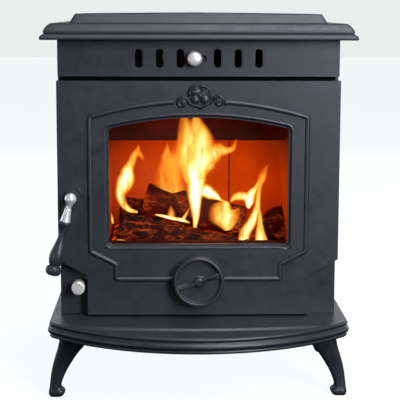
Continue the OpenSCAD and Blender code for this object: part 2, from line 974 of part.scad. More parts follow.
module latch_cam() {
    color([0.55, 0.55, 0.57])
    translate([-pivot_x, 0, pivot_z])
        difference() {
            rotate([0, -cam_angle, 0])
                union() {
                    rod_y(9, cam_y, cam_y + cam_t);
                    box(0, cam_len, cam_y, cam_y + cam_t, -cam_w / 2, cam_w / 2);
                }
            rod_y(spindle_r, cam_y - 1, cam_y + cam_t + 1);
        }
}

module cam_nut() {
    color([0.55, 0.55, 0.57])
    translate([-pivot_x, 0, pivot_z])
        difference() {
            hex_y(8, cam_y + cam_t, cam_y + cam_t + 3);
            rod_y(spindle_r, cam_y, cam_y + cam_t + 5);
        }
}

// ---- spin wheel ----

module air_stud() {
    color([0.7, 0.7, 0.72])
    translate([0, 0, wheel_z]) rod_y(stud_r, wheel_back_y - wheel_d + 2, skin_y + 9);
}

module air_stud_nut() {
    color([0.55, 0.55, 0.57])
    translate([0, 0, wheel_z])
        difference() {
            hex_y(9, skin_y + 1, skin_y + 7);
            rod_y(stud_r + thread_play, skin_y, skin_y + 8);
        }
}

module air_washer() {
    color([0.6, 0.6, 0.62])
    translate([0, 0, wheel_z])
        difference() {
            rod_y(9, wheel_back_y + gap, wheel_back_y + gap + 1.6);
            rod_y(stud_r + slip, wheel_back_y, wheel_back_y + 3);
        }
}

module air_wheel() {
    front = wheel_d;
    color([0.16, 0.17, 0.2])
    translate([0, 0, wheel_z])
        difference() {
            union() {
                turned_y(wheel_back_y)
                    polygon([
                        [stud_r + slip, 0], [9, 0], [9, front - 8], [wheel_r - wheel_rim, front - 8],
                        [wheel_r - wheel_rim, 0], [wheel_r, 0], [wheel_r, 8], [wheel_r - 2, 10],
                        [wheel_r, 12], [wheel_r, front - 2], [wheel_r - 2, front], [wheel_r - 4, front],
                        [wheel_r - 6, front - wheel_face], [8, front - wheel_face], [7, front + 1],
                        [stud_r + slip, front + 1]
                    ]);
                rotate([0, -bar_tilt, 0])
                    box(-wheel_r + wheel_rim, wheel_r - wheel_rim, wheel_back_y - front + 0.5,
                        wheel_back_y - front + wheel_face + 1, -4.5, 4.5);
            }
            rod_y(stud_r + slip, wheel_back_y - front - 2, wheel_back_y + 1);
        }
}

// ---- airwash slide ----

module slide_rails() {
    y0 = panel_y + 5;
    color([0.4, 0.4, 0.42])
    for (up = [0, 1])
        translate([0, 0, up * 2 * slide_z]) mirror([0, 0, up]) {
            box(-125, 125, y0, y0 + 6, panel_z + 5, slide_low - 0.5);
            box(-125, 125, y0 + slide_t + 1, y0 + 6, slide_low - 1, slide_low + 4);
        }
}

module slide_plate() {
    y0 = panel_y + 5.5;
    color([0.4, 0.4, 0.42])
    difference() {
        box(-slide_w / 2, slide_w / 2, y0, y0 + slide_t, slide_low, slide_high);
        slab_y(y0 - 1, y0 + slide_t + 1) airwash_slots(slot_w + 1, slot_h);
        translate([knob_x, 0, slide_z]) rod_y(m6_r, y0 - 1, y0 + slide_t + 1);
    }
}

module slide_stem() {
    color([0.7, 0.7, 0.72])
    translate([knob_x, 0, slide_z]) rod_y(m6_r, panel_y - 6, panel_y + 5.5 + slide_t);
}

module slide_knob() {
    color([0.8, 0.8, 0.82])
    translate([knob_x, 0, slide_z])
        difference() {
            turned_y(panel_y - 1)
                polygon([
                    [0, 0], [6, 0], [6, 3], [knob_r - 1, 4.5], [knob_r, 6], [knob_r, 9],
                    [knob_r - 1.5, 12], [knob_r - 4.5, 14.5], [4, 16], [0, 16.5]
                ]);
            rod_y(m6_r, panel_y - 6, panel_y);
        }
}

// ---- riddling gear ----

module riddle_bush() {
    color([0.55, 0.5, 0.38])
    translate([-riddle_x, 0, riddle_z])
        difference() {
            rod_y(riddle_r + 4, front_y - 2, front_y + wall + 2);
            rod_y(riddle_r + slip, front_y - 3, front_y + wall + 3);
        }
}

module riddle_rod() {
    a = riddle_arm_y;
    arm_x = pan_w / 2 + 8;
    plate_x = riddle_plate_w / 2 - 8;
    bar = 5;
    color([0.6, 0.6, 0.62]) {
        translate([-riddle_x, 0, riddle_z]) rod_y(riddle_r, front_y - 12, a + 5);
        box(-riddle_x, -arm_x, a - 5, a + 5, riddle_z - bar / 2, riddle_z + bar / 2);
        box(-arm_x - bar, -arm_x, a - 5, a + 5, riddle_z - bar / 2, riddle_plate_z - 5);
        box(-arm_x - bar, -plate_x + bar, a - 5, a + 5, riddle_plate_z - 9, riddle_plate_z - 5);
        box(-plate_x, -plate_x + bar, a - 5, a + 5, riddle_plate_z - 9, riddle_plate_z);
    }
}

module riddle_knob() {
    y1 = front_y - 3;
    color([0.8, 0.8, 0.82])
    translate([-riddle_x, 0, riddle_z])
        difference() {
            turned_y(y1)
                polygon([
                    [0, 0], [riddle_knob_r - 2, 0], [riddle_knob_r, 3], [riddle_knob_r, riddle_knob_len - 2],
                    [riddle_knob_r - 2, riddle_knob_len], [0, riddle_knob_len]
                ]);
            rod_y(riddle_r, y1 - 9, y1 + 1);
        }
}

module riddle_plate() {
    w = riddle_plate_w / 2;
    y0 = riddle_arm_y - 50;
    y1 = riddle_arm_y + 100;
    color([0.25, 0.25, 0.26])
    difference() {
        box(-w, w, y0, y1, riddle_plate_z, riddle_plate_z + riddle_plate_t);
        for (x = [-5:5])
            box(x * bar_pitch - 4, x * bar_pitch + 4, y0 + 10, y1 - 10,
                riddle_plate_z - 1, riddle_plate_z + riddle_plate_t + 1);
    }
}

hearth_plate();
leg_front_left();
leg_front_right();
leg_rear_left();
leg_rear_right();
leg_studs();
side_left();
side_right();
back_plate();
front_frame();
upper_front_panel();
panel_screws();
top_plate();
tie_rods();
tie_rod_nuts();
flue_collar();
flue_gasket();
flue_bolts();
brick_left();
brick_right();
brick_back_wide();
brick_back_narrow();
baffle_plate();
grate();
log_guard();
riddle_rails();
pan_rails();
ash_pan();
ash_pan_handle();
hinge_brackets();
hinge_pins();
hinge_screws();
latch_keeper();
keeper_screws();
slide_rails();
riddle_bush();
door_panel();
door_ornament();
window_glass();
glass_gasket();
glass_clips();
clip_screws();
door_rope();
handle_bush();
air_stud();
air_stud_nut();
handle_spindle();
handle_lever();
handle_grip();
latch_cam();
cam_nut();
air_washer();
air_wheel();
slide_plate();
slide_stem();
slide_knob();
riddle_rod();
riddle_knob();
riddle_plate();
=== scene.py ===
import math

import bmesh
import bpy
from mathutils import Matrix, Vector, noise
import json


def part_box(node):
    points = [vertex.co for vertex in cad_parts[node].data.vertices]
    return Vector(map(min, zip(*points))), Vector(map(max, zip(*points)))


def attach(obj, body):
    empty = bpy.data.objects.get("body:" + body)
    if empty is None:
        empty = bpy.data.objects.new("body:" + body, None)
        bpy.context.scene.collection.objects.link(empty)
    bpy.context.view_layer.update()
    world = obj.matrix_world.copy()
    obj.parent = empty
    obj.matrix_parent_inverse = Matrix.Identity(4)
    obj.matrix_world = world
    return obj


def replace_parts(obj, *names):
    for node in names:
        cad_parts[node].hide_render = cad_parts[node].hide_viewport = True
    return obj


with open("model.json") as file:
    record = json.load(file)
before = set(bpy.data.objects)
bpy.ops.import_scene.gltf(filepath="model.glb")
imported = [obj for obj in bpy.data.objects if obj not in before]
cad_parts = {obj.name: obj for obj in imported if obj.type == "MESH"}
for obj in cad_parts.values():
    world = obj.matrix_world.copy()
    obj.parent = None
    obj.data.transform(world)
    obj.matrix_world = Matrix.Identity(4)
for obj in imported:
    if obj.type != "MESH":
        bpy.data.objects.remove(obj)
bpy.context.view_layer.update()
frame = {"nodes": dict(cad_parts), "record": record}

MM = 0.001                  # one millimetre; lengths below are in millimetres unless said
nodes = frame["nodes"]
scene = bpy.context.scene


# ---------------------------------------------------------------- materials

class Mat:
    """A node material with short ways to add the nodes used here."""

    def __init__(self, name):
        self.material = bpy.data.materials.new(name)
        self.material.use_nodes = True
        self.tree = self.material.node_tree
        self.tree.nodes.clear()
        self.out = self.add("ShaderNodeOutputMaterial")
        self.shader = self.add("ShaderNodeBsdfPrincipled")
        self.link(self.shader.outputs["BSDF"], self.out.inputs["Surface"])
        self.place = self.add("ShaderNodeTexCoord").outputs["Object"]

    def add(self, kind, **values):
        n = self.tree.nodes.new(kind)
        for key, value in values.items():
            setattr(n, key, value)
        return n

    def link(self, a, b):
        self.tree.links.new(a, b)

    def set(self, **values):
        """Plain values for the shader's sockets; _ stands for a space."""
        for key, value in values.items():
            self.shader.inputs[key.replace("_", " ")].default_value = value
        return self

    def feed(self, socket, value):
        """Links a socket to another node, or gives it a plain value."""
        if hasattr(value, "is_output"):
            self.link(value, socket)
        else:
            socket.default_value = (*value, 1.0) if isinstance(value, tuple) else value

    def noise(self, scale, detail=3.0, rough=0.5, stretch=None):
        n = self.add("ShaderNodeTexNoise")
        n.inputs["Scale"].default_value = scale
        n.inputs["Detail"].default_value = detail
        n.inputs["Roughness"].default_value = rough
        place = self.place
        if stretch:
            m = self.add("ShaderNodeMapping")
            m.inputs["Scale"].default_value = stretch
            self.link(place, m.inputs["Vector"])
            place = m.outputs["Vector"]
        self.link(place, n.inputs["Vector"])
        return n.outputs["Fac"]

    def ramp(self, fac, *stops):
        """Colour or grey at rising positions."""
        r = self.add("ShaderNodeValToRGB")
        e = r.color_ramp.elements
        rgba = [(*c, 1.0) if isinstance(c, tuple) else (c, c, c, 1.0) for _, c in stops]
        e[0].position, e[1].position = stops[0][0], stops[-1][0]
        e[0].color, e[1].color = rgba[0], rgba[-1]
        for (position, _), colour in zip(stops[1:-1], rgba[1:-1]):
            e.new(position).color = colour
        self.link(fac, r.inputs["Fac"])
        return r.outputs["Color"]

    def mix(self, kind, fac, a, b):
        n = self.add("ShaderNodeMix", data_type="RGBA", blend_type=kind)
        colour_a, colour_b, colour_out = n.inputs[6], n.inputs[7], n.outputs[2]
        for socket, value in ((n.inputs[0], fac), (colour_a, a), (colour_b, b)):
            self.feed(socket, value)
        return colour_out

    def maths(self, op, a, b=0.0, clamp=False):
        n = self.add("ShaderNodeMath", operation=op, use_clamp=clamp)
        self.feed(n.inputs[0], a)
        self.feed(n.inputs[1], b)
        return n.outputs[0]

    def bump(self, height, strength, distance):
        """Adds a layer of relief on top of those already there."""
        b = self.add("ShaderNodeBump")
        b.inputs["Strength"].default_value = strength
        b.inputs["Distance"].default_value = distance
        last = self.shader.inputs["Normal"]
        if last.is_linked:
            self.link(last.links[0].from_socket, b.inputs["Normal"])
        self.link(height, b.inputs["Height"])
        self.link(b.outputs["Normal"], last)
        return self

    def to(self, name, value):
        self.link(value, self.shader.inputs[name])
        return self


def tinted(m, base, scale, spread, rough, rough_scale=40.0):
    """Base colour that wanders by spread, and roughness between two values."""
    low = tuple(c * (1 - spread) for c in base)
    high = tuple(c * (1 + spread) for c in base)
    m.to("Base Color", m.ramp(m.noise(scale, 4.0), (0.3, low), (0.7, high)))
    m.to("Roughness", m.ramp(m.noise(rough_scale, 3.0), (0.3, rough[0]), (0.7, rough[1])))
    return m


def stove_paint(name, base, rough, shine):
    """Matt black stove paint over sand-cast iron."""
    m = Mat(name)
    tinted(m, base, 22.0, 0.12, rough, 70.0)
    m.set(Specular_IOR_Level=shine)
    m.bump(m.noise(1500.0, 2.0), 0.22, 0.0005)
    m.bump(m.noise(160.0, 3.0), 0.10, 0.0012)
    return m


def bare_iron(name):
    """Unpainted cast iron, brown-grey and rough."""
    m = Mat(name)
    tinted(m, (0.05, 0.042, 0.036), 40.0, 0.35, (0.6, 0.8))
    m.set(Metallic=0.4)
    m.bump(m.noise(700.0, 3.0), 0.15, 0.0005)
    return m


def steel(name, base, rough, metallic=1.0):
    """Turned metal with fine marks from the lathe."""
    m = Mat(name)
    tinted(m, base, 60.0, 0.08, rough, 300.0)
    m.set(Metallic=metallic)
    m.bump(m.noise(2200.0, 1.0, stretch=(1.0, 1.0, 0.05)), 0.04, 0.0002)
    return m


def fire_brick(name):
    """Brick with painted firelight: an emission brightest round the middle of the fire that fades outwards.
    """
    middle_z, reach_z, reach_x = 0.31, 0.115, 0.20      # metres
    m = Mat(name)
    tinted(m, (0.11, 0.035, 0.010), 30.0, 0.2, (0.8, 0.95))
    m.bump(m.noise(420.0, 4.0), 0.35, 0.001)
    place = m.add("ShaderNodeSeparateXYZ")
    m.link(m.place, place.inputs[0])
    # painted firelight: the glow falls off with distance from the fire's middle, standing in for the fire
    # lighting the brick
    up = m.maths("DIVIDE", m.maths("SUBTRACT", place.outputs["Z"], middle_z), reach_z)
    up = m.maths("POWER", m.maths("ABSOLUTE", up), 2.0)
    out = m.maths("DIVIDE", place.outputs["X"], reach_x)
    out = m.maths("POWER", m.maths("ABSOLUTE", out), 2.0)
    painted_glow_falloff = m.maths("SUBTRACT", 1.15, m.maths("ADD", up, out), clamp=True)
    patchy = m.ramp(m.noise(16.0, 3.0), (0.25, 0.72), (0.75, 1.1))
    heat = m.mix("MULTIPLY", 1.0, painted_glow_falloff, patchy)
    m.to("Emission Color", m.ramp(heat, (0.0, (0.035, 0.002, 0.0)), (0.35, (0.20, 0.012, 0.0)),
                                  (0.7, (0.46, 0.026, 0.0)), (1.0, (0.66, 0.060, 0.001))))
    m.set(Emission_Strength=1.0, Specular_IOR_Level=0.1)
    return m


def firelit_iron(name):
    """Iron over a fire with painted firelight: a dull red glow, darker away from the middle."""
    reach_x = 0.15              # metres
    m = Mat(name)
    tinted(m, (0.012, 0.004, 0.003), 40.0, 0.3, (0.6, 0.8))
    m.bump(m.noise(500.0, 3.0), 0.2, 0.0006)
    place = m.add("ShaderNodeSeparateXYZ")
    m.link(m.place, place.inputs[0])
    # painted firelight, falling off away from the fire's middle
    out = m.maths("DIVIDE", m.maths("ABSOLUTE", place.outputs["X"]), reach_x, clamp=True)
    painted_glow_falloff = m.ramp(out, (0.0, 1.0), (1.0, 0.35))
    patchy = m.ramp(m.noise(18.0, 4.0), (0.3, 0.4), (0.75, 1.3))
    painted_glow = m.mix("MULTIPLY", 1.0, painted_glow_falloff, patchy)
    m.to("Emission Color", m.mix("MULTIPLY", 1.0, painted_glow, (0.075, 0.005, 0.001)))
    m.set(Emission_Strength=1.0, Specular_IOR_Level=0.1)
    return m


def plain(name, base, rough, grain, depth):
    """An even surface with a fine grain."""
    m = Mat(name)
    tinted(m, base, 60.0, 0.1, rough)
    m.bump(m.noise(grain, 3.0), depth, 0.0006)
    return m


def woven(name, base):
    """Woven rope seal."""
    m = Mat(name)
    tinted(m, base, 90.0, 0.15, (0.85, 0.95))
    w = m.add("ShaderNodeTexWave")
    w.inputs["Scale"].default_value = 260.0
    w.inputs["Distortion"].default_value = 1.5
    m.link(m.place, w.inputs["Vector"])
    m.bump(w.outputs["Fac"], 0.5, 0.001)
    return m


def clear_glass(name):
    """Thin heat-proof glass: see-through, with a soft reflection at the edges."""
    m = Mat(name)
    glossy = m.add("ShaderNodeBsdfGlossy")
    glossy.inputs["Roughness"].default_value = 0.04
    clear = m.add("ShaderNodeBsdfTransparent")
    clear.inputs["Color"].default_value = (0.96, 0.95, 0.93, 1.0)
    fresnel = m.add("ShaderNodeFresnel")
    fresnel.inputs["IOR"].default_value = 1.35
    mix = m.add("ShaderNodeMixShader")
    m.link(fresnel.outputs[0], mix.inputs[0])
    m.link(clear.outputs[0], mix.inputs[1])
    m.link(glossy.outputs[0], mix.inputs[2])
    m.link(mix.outputs[0], m.out.inputs["Surface"])
    m.tree.nodes.remove(m.shader)
    return m


def flame(name, strength):
    """Light and cover both follow the mesh's own heat, with streaks that rise."""
    m = Mat(name)
    heat = m.add("ShaderNodeAttribute", attribute_name="hotness").outputs["Fac"]
    streak = m.noise(70.0, 4.0, 0.6, stretch=(1.0, 1.0, 0.22))
    streak = m.ramp(streak, (0.3, 0.62), (0.5, 0.98), (0.7, 1.15))
    heat = m.mix("MULTIPLY", 1.0, heat, streak)
    m.to("Emission Color", m.ramp(heat, (0.0, (0.55, 0.05, 0.0)), (0.22, (0.85, 0.16, 0.006)),
                                  (0.42, (0.95, 0.36, 0.03)), (0.62, (1.0, 0.66, 0.12)),
                                  (0.8, (1.0, 0.88, 0.45)), (0.95, (1.0, 0.98, 0.88))))
    m.to("Alpha", m.ramp(heat, (0.02, 0.0), (0.2, 0.32), (0.45, 0.66), (0.75, 0.95)))
    m.set(Base_Color=(0.0, 0.0, 0.0, 1.0), Roughness=1.0, Specular_IOR_Level=0.0)
    m.set(Emission_Strength=strength)
    return m


def charred(name, base, ember, strength, crack):
    """Burnt wood: dark, rough, with glowing cracks."""
    m = Mat(name)
    tinted(m, base, 45.0, 0.5, (0.75, 0.95))
    veins = m.noise(crack, 5.0, 0.7, stretch=(0.5, 1.0, 1.2))
    edge = m.ramp(veins, (0.44, 0.0), (0.49, 0.35), (0.5, 1.0), (0.51, 0.35), (0.56, 0.0))
    patch = m.ramp(m.noise(21.0, 4.0, 0.6), (0.46, 0.0), (0.62, 1.0))
    hot = m.mix("MULTIPLY", 1.0, edge, patch)
    dull = m.ramp(m.noise(34.0, 4.0, 0.65), (0.38, (0.0, 0.0, 0.0)), (0.75, ember))
    m.to("Emission Color", m.mix("ADD", 1.0, m.mix("MULTIPLY", 1.0, hot, (0.95, 0.10, 0.008)), dull))
    m.set(Emission_Strength=strength, Specular_IOR_Level=0.12)
    m.bump(veins, 0.9, 0.004)
    m.bump(m.noise(260.0, 4.0, stretch=(0.3, 1.0, 1.0)), 0.5, 0.001)
    return m


PIVOT = (-195.0, -138.0, 320.0)     # ball of the door handle
DOOR_Y = -109.0                     # front face of the door
FIELD_Y = -110.5                    # raised field round the window
GRATE_TOP = 224.0
LEG_X, LEG_REAR_X, LEG_FRONT_Y, LEG_REAR_Y = 201.0, 204.0, -98.0, 155.0

PAINT = stove_paint("stove_paint", (0.019, 0.0205, 0.025), (0.36, 0.46), 0.5)
TOP_PAINT = stove_paint("top_paint", (0.018, 0.0195, 0.024), (0.42, 0.52), 0.45)
IRON = bare_iron("bare_iron")
FIRELIT_IRON = firelit_iron("firelit_iron")
STEEL = steel("plain_steel", (0.45, 0.45, 0.46), (0.3, 0.42))
POLISHED = steel("polished_steel", (0.86, 0.86, 0.87), (0.24, 0.32), 0.6)
KNOB = steel("knob_steel", (0.84, 0.79, 0.73), (0.30, 0.38), 0.55)
BRASS = steel("bush_brass", (0.70, 0.52, 0.25), (0.3, 0.4))
GRIP = plain("grip_black", (0.024, 0.026, 0.032), (0.36, 0.44), 500.0, 0.05)
# the bricks carry painted firelight as emission
FIRELIT_BRICK = fire_brick("fire_brick")
ROPE = woven("glass_rope", (0.58, 0.55, 0.48))
# near-black rope with little shine: painted shade filling the gap over the door
GAP_SHADE_ROPE = woven("gap_shade_rope", (0.004, 0.004, 0.004))
GAP_SHADE_ROPE.set(Specular_IOR_Level=0.05)
GLASS = clear_glass("stove_glass")
FLAME = flame("flame", 1.6)
CHAR = charred("charred_wood", (0.014, 0.006, 0.004), (0.075, 0.0035, 0.0008), 0.8, 42.0)
BARK = charred("burning_bark", (0.022, 0.005, 0.003), (0.10, 0.0025, 0.0006), 0.8, 22.0)
EMBER = charred("ember_bed", (0.03, 0.01, 0.006), (0.30, 0.014, 0.001), 1.6, 60.0)
# painted shade for the groove of the brick joint, with a dull red emission as painted firelight
JOINT_SHADE_AND_GLOW = plain("joint_shade_and_glow", (0.03, 0.006, 0.003), (0.9, 0.98), 900.0, 0.3)
JOINT_SHADE_AND_GLOW.set(Emission_Color=(0.055, 0.004, 0.0, 1.0), Emission_Strength=1.0)

SLOT_MATERIAL = {
    "stove_paint": PAINT, "bare_iron": IRON, "plain_steel": STEEL, "polished_steel": POLISHED,
    "grip": GRIP, "fire_brick": FIRELIT_BRICK, "seal": ROPE, "bush": BRASS, "glass": GLASS,
}
# nodes that look different from the rest of their slot
NODE_MATERIAL = {
    # the baffle and the log guard carry painted firelight
    "baffle_plate": FIRELIT_IRON, "log_guard": FIRELIT_IRON,
    "slide_plate": IRON, "slide_stem": IRON, "handle_bush": IRON,
}


def paint_nodes():
    """Gives every CAD node its material."""
    for part in frame["record"]["subparts"]:
        look = NODE_MATERIAL.get(part["node"], SLOT_MATERIAL[part["material_slot"]])
        mesh = nodes[part["node"]].data
        mesh.materials.clear()
        mesh.materials.append(look.material)


def soften(node, width):
    """Rounds a casting's edges where it stands, without touching its mesh."""
    ob = nodes[node]
    weld = ob.modifiers.new("weld", "WELD")
    weld.merge_threshold = 0.00002
    join = ob.modifiers.new("join_flats", "DECIMATE")
    join.decimate_type = "DISSOLVE"
    join.angle_limit = math.radians(0.5)
    bevel = ob.modifiers.new("soft_edges", "BEVEL")
    bevel.width = width * MM
    bevel.segments = 3
    bevel.limit_method = "ANGLE"
    bevel.angle_limit = math.radians(32)
    bevel.use_clamp_overlap = True
    bevel.harden_normals = True
    for face in ob.data.polygons:
        face.use_smooth = True
    flat = ob.modifiers.new("flat_faces", "WEIGHTED_NORMAL")
    flat.mode = "FACE_AREA"
    flat.weight = 90
    flat.keep_sharp = True


# ---------------------------------------------------------------- mesh helpers

def put(name, verts, faces, look, body):
    """One smooth piece that rides on a body."""
    me = bpy.data.meshes.new(name)
    me.from_pydata([Vector(v) * MM for v in verts], [], faces)
    me.validate()
    bm = bmesh.new()
    bm.from_mesh(me)
    bmesh.ops.recalc_face_normals(bm, faces=bm.faces)
    bm.to_mesh(me)
    bm.free()
    for face in me.polygons:
        face.use_smooth = True
    me.materials.append(look.material)
    ob = bpy.data.objects.new(name, me)
    scene.collection.objects.link(ob)
    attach(ob, body)
    return ob


def rounded(points, size, steps=5, closed=False):
    """The same line with every corner eased by a short curve."""
    out = []
    count = len(points)
    for i, point in enumerate(points):
        if not closed and i in (0, count - 1):
            out.append(tuple(point))
            continue
        before, corner, after = Vector(points[i - 1]), Vector(point), Vector(points[(i + 1) % count])
        start = corner + (before - corner).normalized() * min(size, (before - corner).length * 0.45)
        end = corner + (after - corner).normalized() * min(size, (after - corner).length * 0.45)
        for k in range(steps + 1):
            t = k / steps
            out.append(tuple(start.lerp(corner, t).lerp(corner.lerp(end, t), t)))
    return out


class Shape:
    """Verts and faces of one piece, in millimetres."""

    def __init__(self):
        self.verts = []
        self.faces = []

    def loops(self, rows, closed=True, cap=(False, False)):
        """Skins a row of equal loops; each cap closes one end with a fan."""
        base = len(self.verts)
        size = len(rows[0])
        for row in rows:
            self.verts.extend(tuple(v) for v in row)
        for i in range(len(rows) - 1):
            for k in range(size if closed else size - 1):
                n = (k + 1) % size
                self.faces.append((base + i * size + k, base + i * size + n,
                                   base + (i + 1) * size + n, base + (i + 1) * size + k))
        for wanted, first in ((cap[0], base), (cap[1], base + (len(rows) - 1) * size)):
            if wanted:
                middle = sum((Vector(self.verts[first + k]) for k in range(size)), Vector()) / size
                self.verts.append(tuple(middle))
                for k in range(size):
                    self.faces.append((len(self.verts) - 1, first + k, first + (k + 1) % size))
        return self

    def lathe(self, profile, origin, axis, around=72):
        """Turns (radius, distance along the axis) pairs about an axis."""
        axis = Vector(axis).normalized()
        side = axis.orthogonal().normalized()
        other = axis.cross(side)
        origin = Vector(origin)
        rows = []
        for r, along in profile:
            ring = []
            for k in range(around):
                a = 2 * math.pi * k / around
                out = side * math.cos(a) + other * math.sin(a)
                ring.append(origin + axis * along + out * max(r, 0.01))
            rows.append(ring)
        return self.loops(rows)

    def make(self, name, look, body, crease=None):
        """The finished piece; edges sharper than crease degrees stay crisp."""
        ob = put(name, self.verts, self.faces, look, body)
        if crease:
            ob.data.set_sharp_from_angle(angle=math.radians(crease))
        return ob


def curve_through(points, per_span):
    """Points of a smooth Catmull-Rom curve through rows of numbers."""
    rows = [points[0], *points, points[-1]]
    out = []
    for i in range(1, len(rows) - 2):
        for k in range(per_span):
            t = k / per_span
            row = []
            for a, b, c, d in zip(*rows[i - 1:i + 3]):
                row.append(0.5 * (2 * b + (c - a) * t + (2 * a - 5 * b + 4 * c - d) * t * t
                                  + (3 * b - a - 3 * c + d) * t ** 3))
            out.append(row)
    out.append(list(points[-1]))
    return out


def near(x, z, line):
    """Distance from a point to a broken line."""
    best = 1e9
    for (x0, z0), (x1, z1) in zip(line, line[1:]):
        dx, dz = x1 - x0, z1 - z0
        t = ((x - x0) * dx + (z - z0) * dz) / (dx * dx + dz * dz or 1)
        t = min(1, max(0, t))
        best = min(best, math.hypot(x - x0 - t * dx, z - z0 - t * dz))
    return best


def arc(cx, cz, r0, r1, a0, a1, count=20):
    """Points of an arc or spiral from angle a0 to a1, in degrees."""
    out = []
    for k in range(count + 1):
        t = k / count
        a = math.radians(a0 + (a1 - a0) * t)
        r = r0 + (r1 - r0) * t
        out.append((cx + r * math.cos(a), cz + r * math.sin(a)))
    return out


# ---------------------------------------------------------------- castings

def air_wheel():
    """Spun drum with a raised rim and one twisted bar across it."""
    low, high = (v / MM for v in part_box("air_wheel"))
    x, z = (low.x + high.x) / 2, (low.z + high.z) / 2
    back = high.y
    bar_reach, bar_front, bar_wide, bar_waist, bar_thick = 34.2, 16.2, 5.0, 0.9, 1.7
    square = 0.6                # under 1 squares off the bar's round section
    s = Shape()
    profile = [(0, 19.6), (4.5, 19.4), (7.0, 18.2), (7.5, 16), (9, 14.2), (32.6, 14), (33.2, 18.6),
               (34.4, 20), (37.4, 20), (39, 18.4), (39, 12.8), (37.3, 11.6), (37.3, 10.2), (39, 9),
               (39, 1), (38.2, 0), (6, 0), (6, 18.3), (0, 18.3)]
    s.lathe(rounded(profile, 0.9), (x, back, z), (0, -1, 0), 120)
    tilt = math.radians(17.7)
    along = Vector((math.cos(tilt), 0, math.sin(tilt)))
    across = Vector((-math.sin(tilt), 0, math.cos(tilt)))
    front = Vector((0, -1, 0))
    rows = []
    for i in range(61):
        u = -bar_reach + 2 * bar_reach * i / 60
        turn = math.radians(90) * (1 - abs(u) / bar_reach) * (1 if u >= 0 else -1)
        if abs(u) < 0.01:
            turn = math.radians(90)
        wide = bar_wide - bar_waist * (1 - abs(u) / bar_reach)
        flat = across * math.cos(turn) + front * math.sin(turn)
        thick = front * math.cos(turn) - across * math.sin(turn)
        c = Vector((x, back, z)) + front * bar_front + along * u
        row = []
        for k in range(16):
            a = 2 * math.pi * k / 16
            cu, sv = math.cos(a), math.sin(a)
            row.append(c + flat * (wide * math.copysign(abs(cu) ** square, cu))
                       + thick * (bar_thick * math.copysign(abs(sv) ** square, sv)))
        rows.append(row)
    half = len(rows) // 2
    s.loops(rows[:half], cap=(True, True))
    s.loops(rows[half:], cap=(True, True))
    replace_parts(s.make("air_wheel_casting", PAINT, "air_wheel_body", 50), "air_wheel")


def handle():
    """Polished lever and its turned grip, leaning as the lever does."""
    pivot = Vector(PIVOT)
    lean = math.radians(14)
    axis = (-math.sin(lean), 0, -math.cos(lean))
    lever = [(0, -9), (3.2, -8.45), (6.2, -6.5), (8.3, -3.5), (9, 0), (8.4, 3.2), (6.6, 6.6),
             (4.9, 9.6), (4.3, 12.5), (4.5, 15.5), (5.3, 16.4), (5.4, 19), (6.0, 24), (6.9, 29.5),
             (7.8, 34), (8.1, 35.4), (0, 35.6)]
    s = Shape()
    s.lathe(rounded(lever, 0.8, 3), pivot, axis, 64)
    s.lathe(rounded([(4.5, 0), (4.5, 9), (5.5, 9.6), (5.5, 20)], 0.5, 3), pivot, (0, 1, 0), 40)
    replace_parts(s.make("lever_turned", POLISHED, "door_handle", 60), "handle_lever")
    grip = [(8.2, 35.4), (9.3, 36.0), (9.7, 37.5), (9.5, 39.6), (8.6, 42), (6.6, 47), (5.4, 53),
            (5.3, 58), (6.2, 66), (8.4, 75), (10.5, 83.5), (11.4, 90), (11.2, 96), (9.9, 101.5),
            (8.5, 104.8), (8.2, 106.2), (9.6, 107.1), (11.3, 108.4), (11.9, 110.8), (11.9, 114.6),
            (10.9, 117.9), (8.0, 120.2), (3.5, 121), (0, 121)]
    g = Shape()
    g.lathe([(0, 35.5)] + curve_through(grip, 4), pivot, axis, 72)
    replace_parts(g.make("grip_turned", GRIP, "door_handle", 70), "handle_grip")


def knobs():
    """Turned knobs of the airwash slide and of the riddling rod."""
    low, high = (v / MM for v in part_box("slide_knob"))
    c = ((low.x + high.x) / 2, high.y, (low.z + high.z) / 2)
    s = Shape()
    profile = [(3.2, 0), (6, 0), (6, 3.6), (10.3, 4.3), (11.5, 5.6), (11.5, 10.6), (10.8, 13.2),
               (8.6, 15.1), (4.8, 16.2), (0, 16.5)]
    s.lathe(rounded(profile, 0.9, 4), c, (0, -1, 0), 72)
    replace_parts(s.make("airwash_knob", KNOB, "airwash", 60), "slide_knob")
    low, high = (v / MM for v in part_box("riddle_knob"))
    c = ((low.x + high.x) / 2, high.y, (low.z + high.z) / 2)
    long = high.y - low.y
    r = (high.x - low.x) / 2
    s = Shape()
    profile = [(4, 0), (r - 1.5, 0), (r, 1.4), (r, long - 6), (r - 0.7, long - 5.4), (r - 0.7, long - 4.6),
               (r, long - 4), (r, long - 1.2), (r - 1.2, long), (0, long)]
    s.lathe(rounded(profile, 0.5, 3), c, (0, -1, 0), 64)
    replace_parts(s.make("riddling_knob", KNOB, "riddler", 60), "riddle_knob")


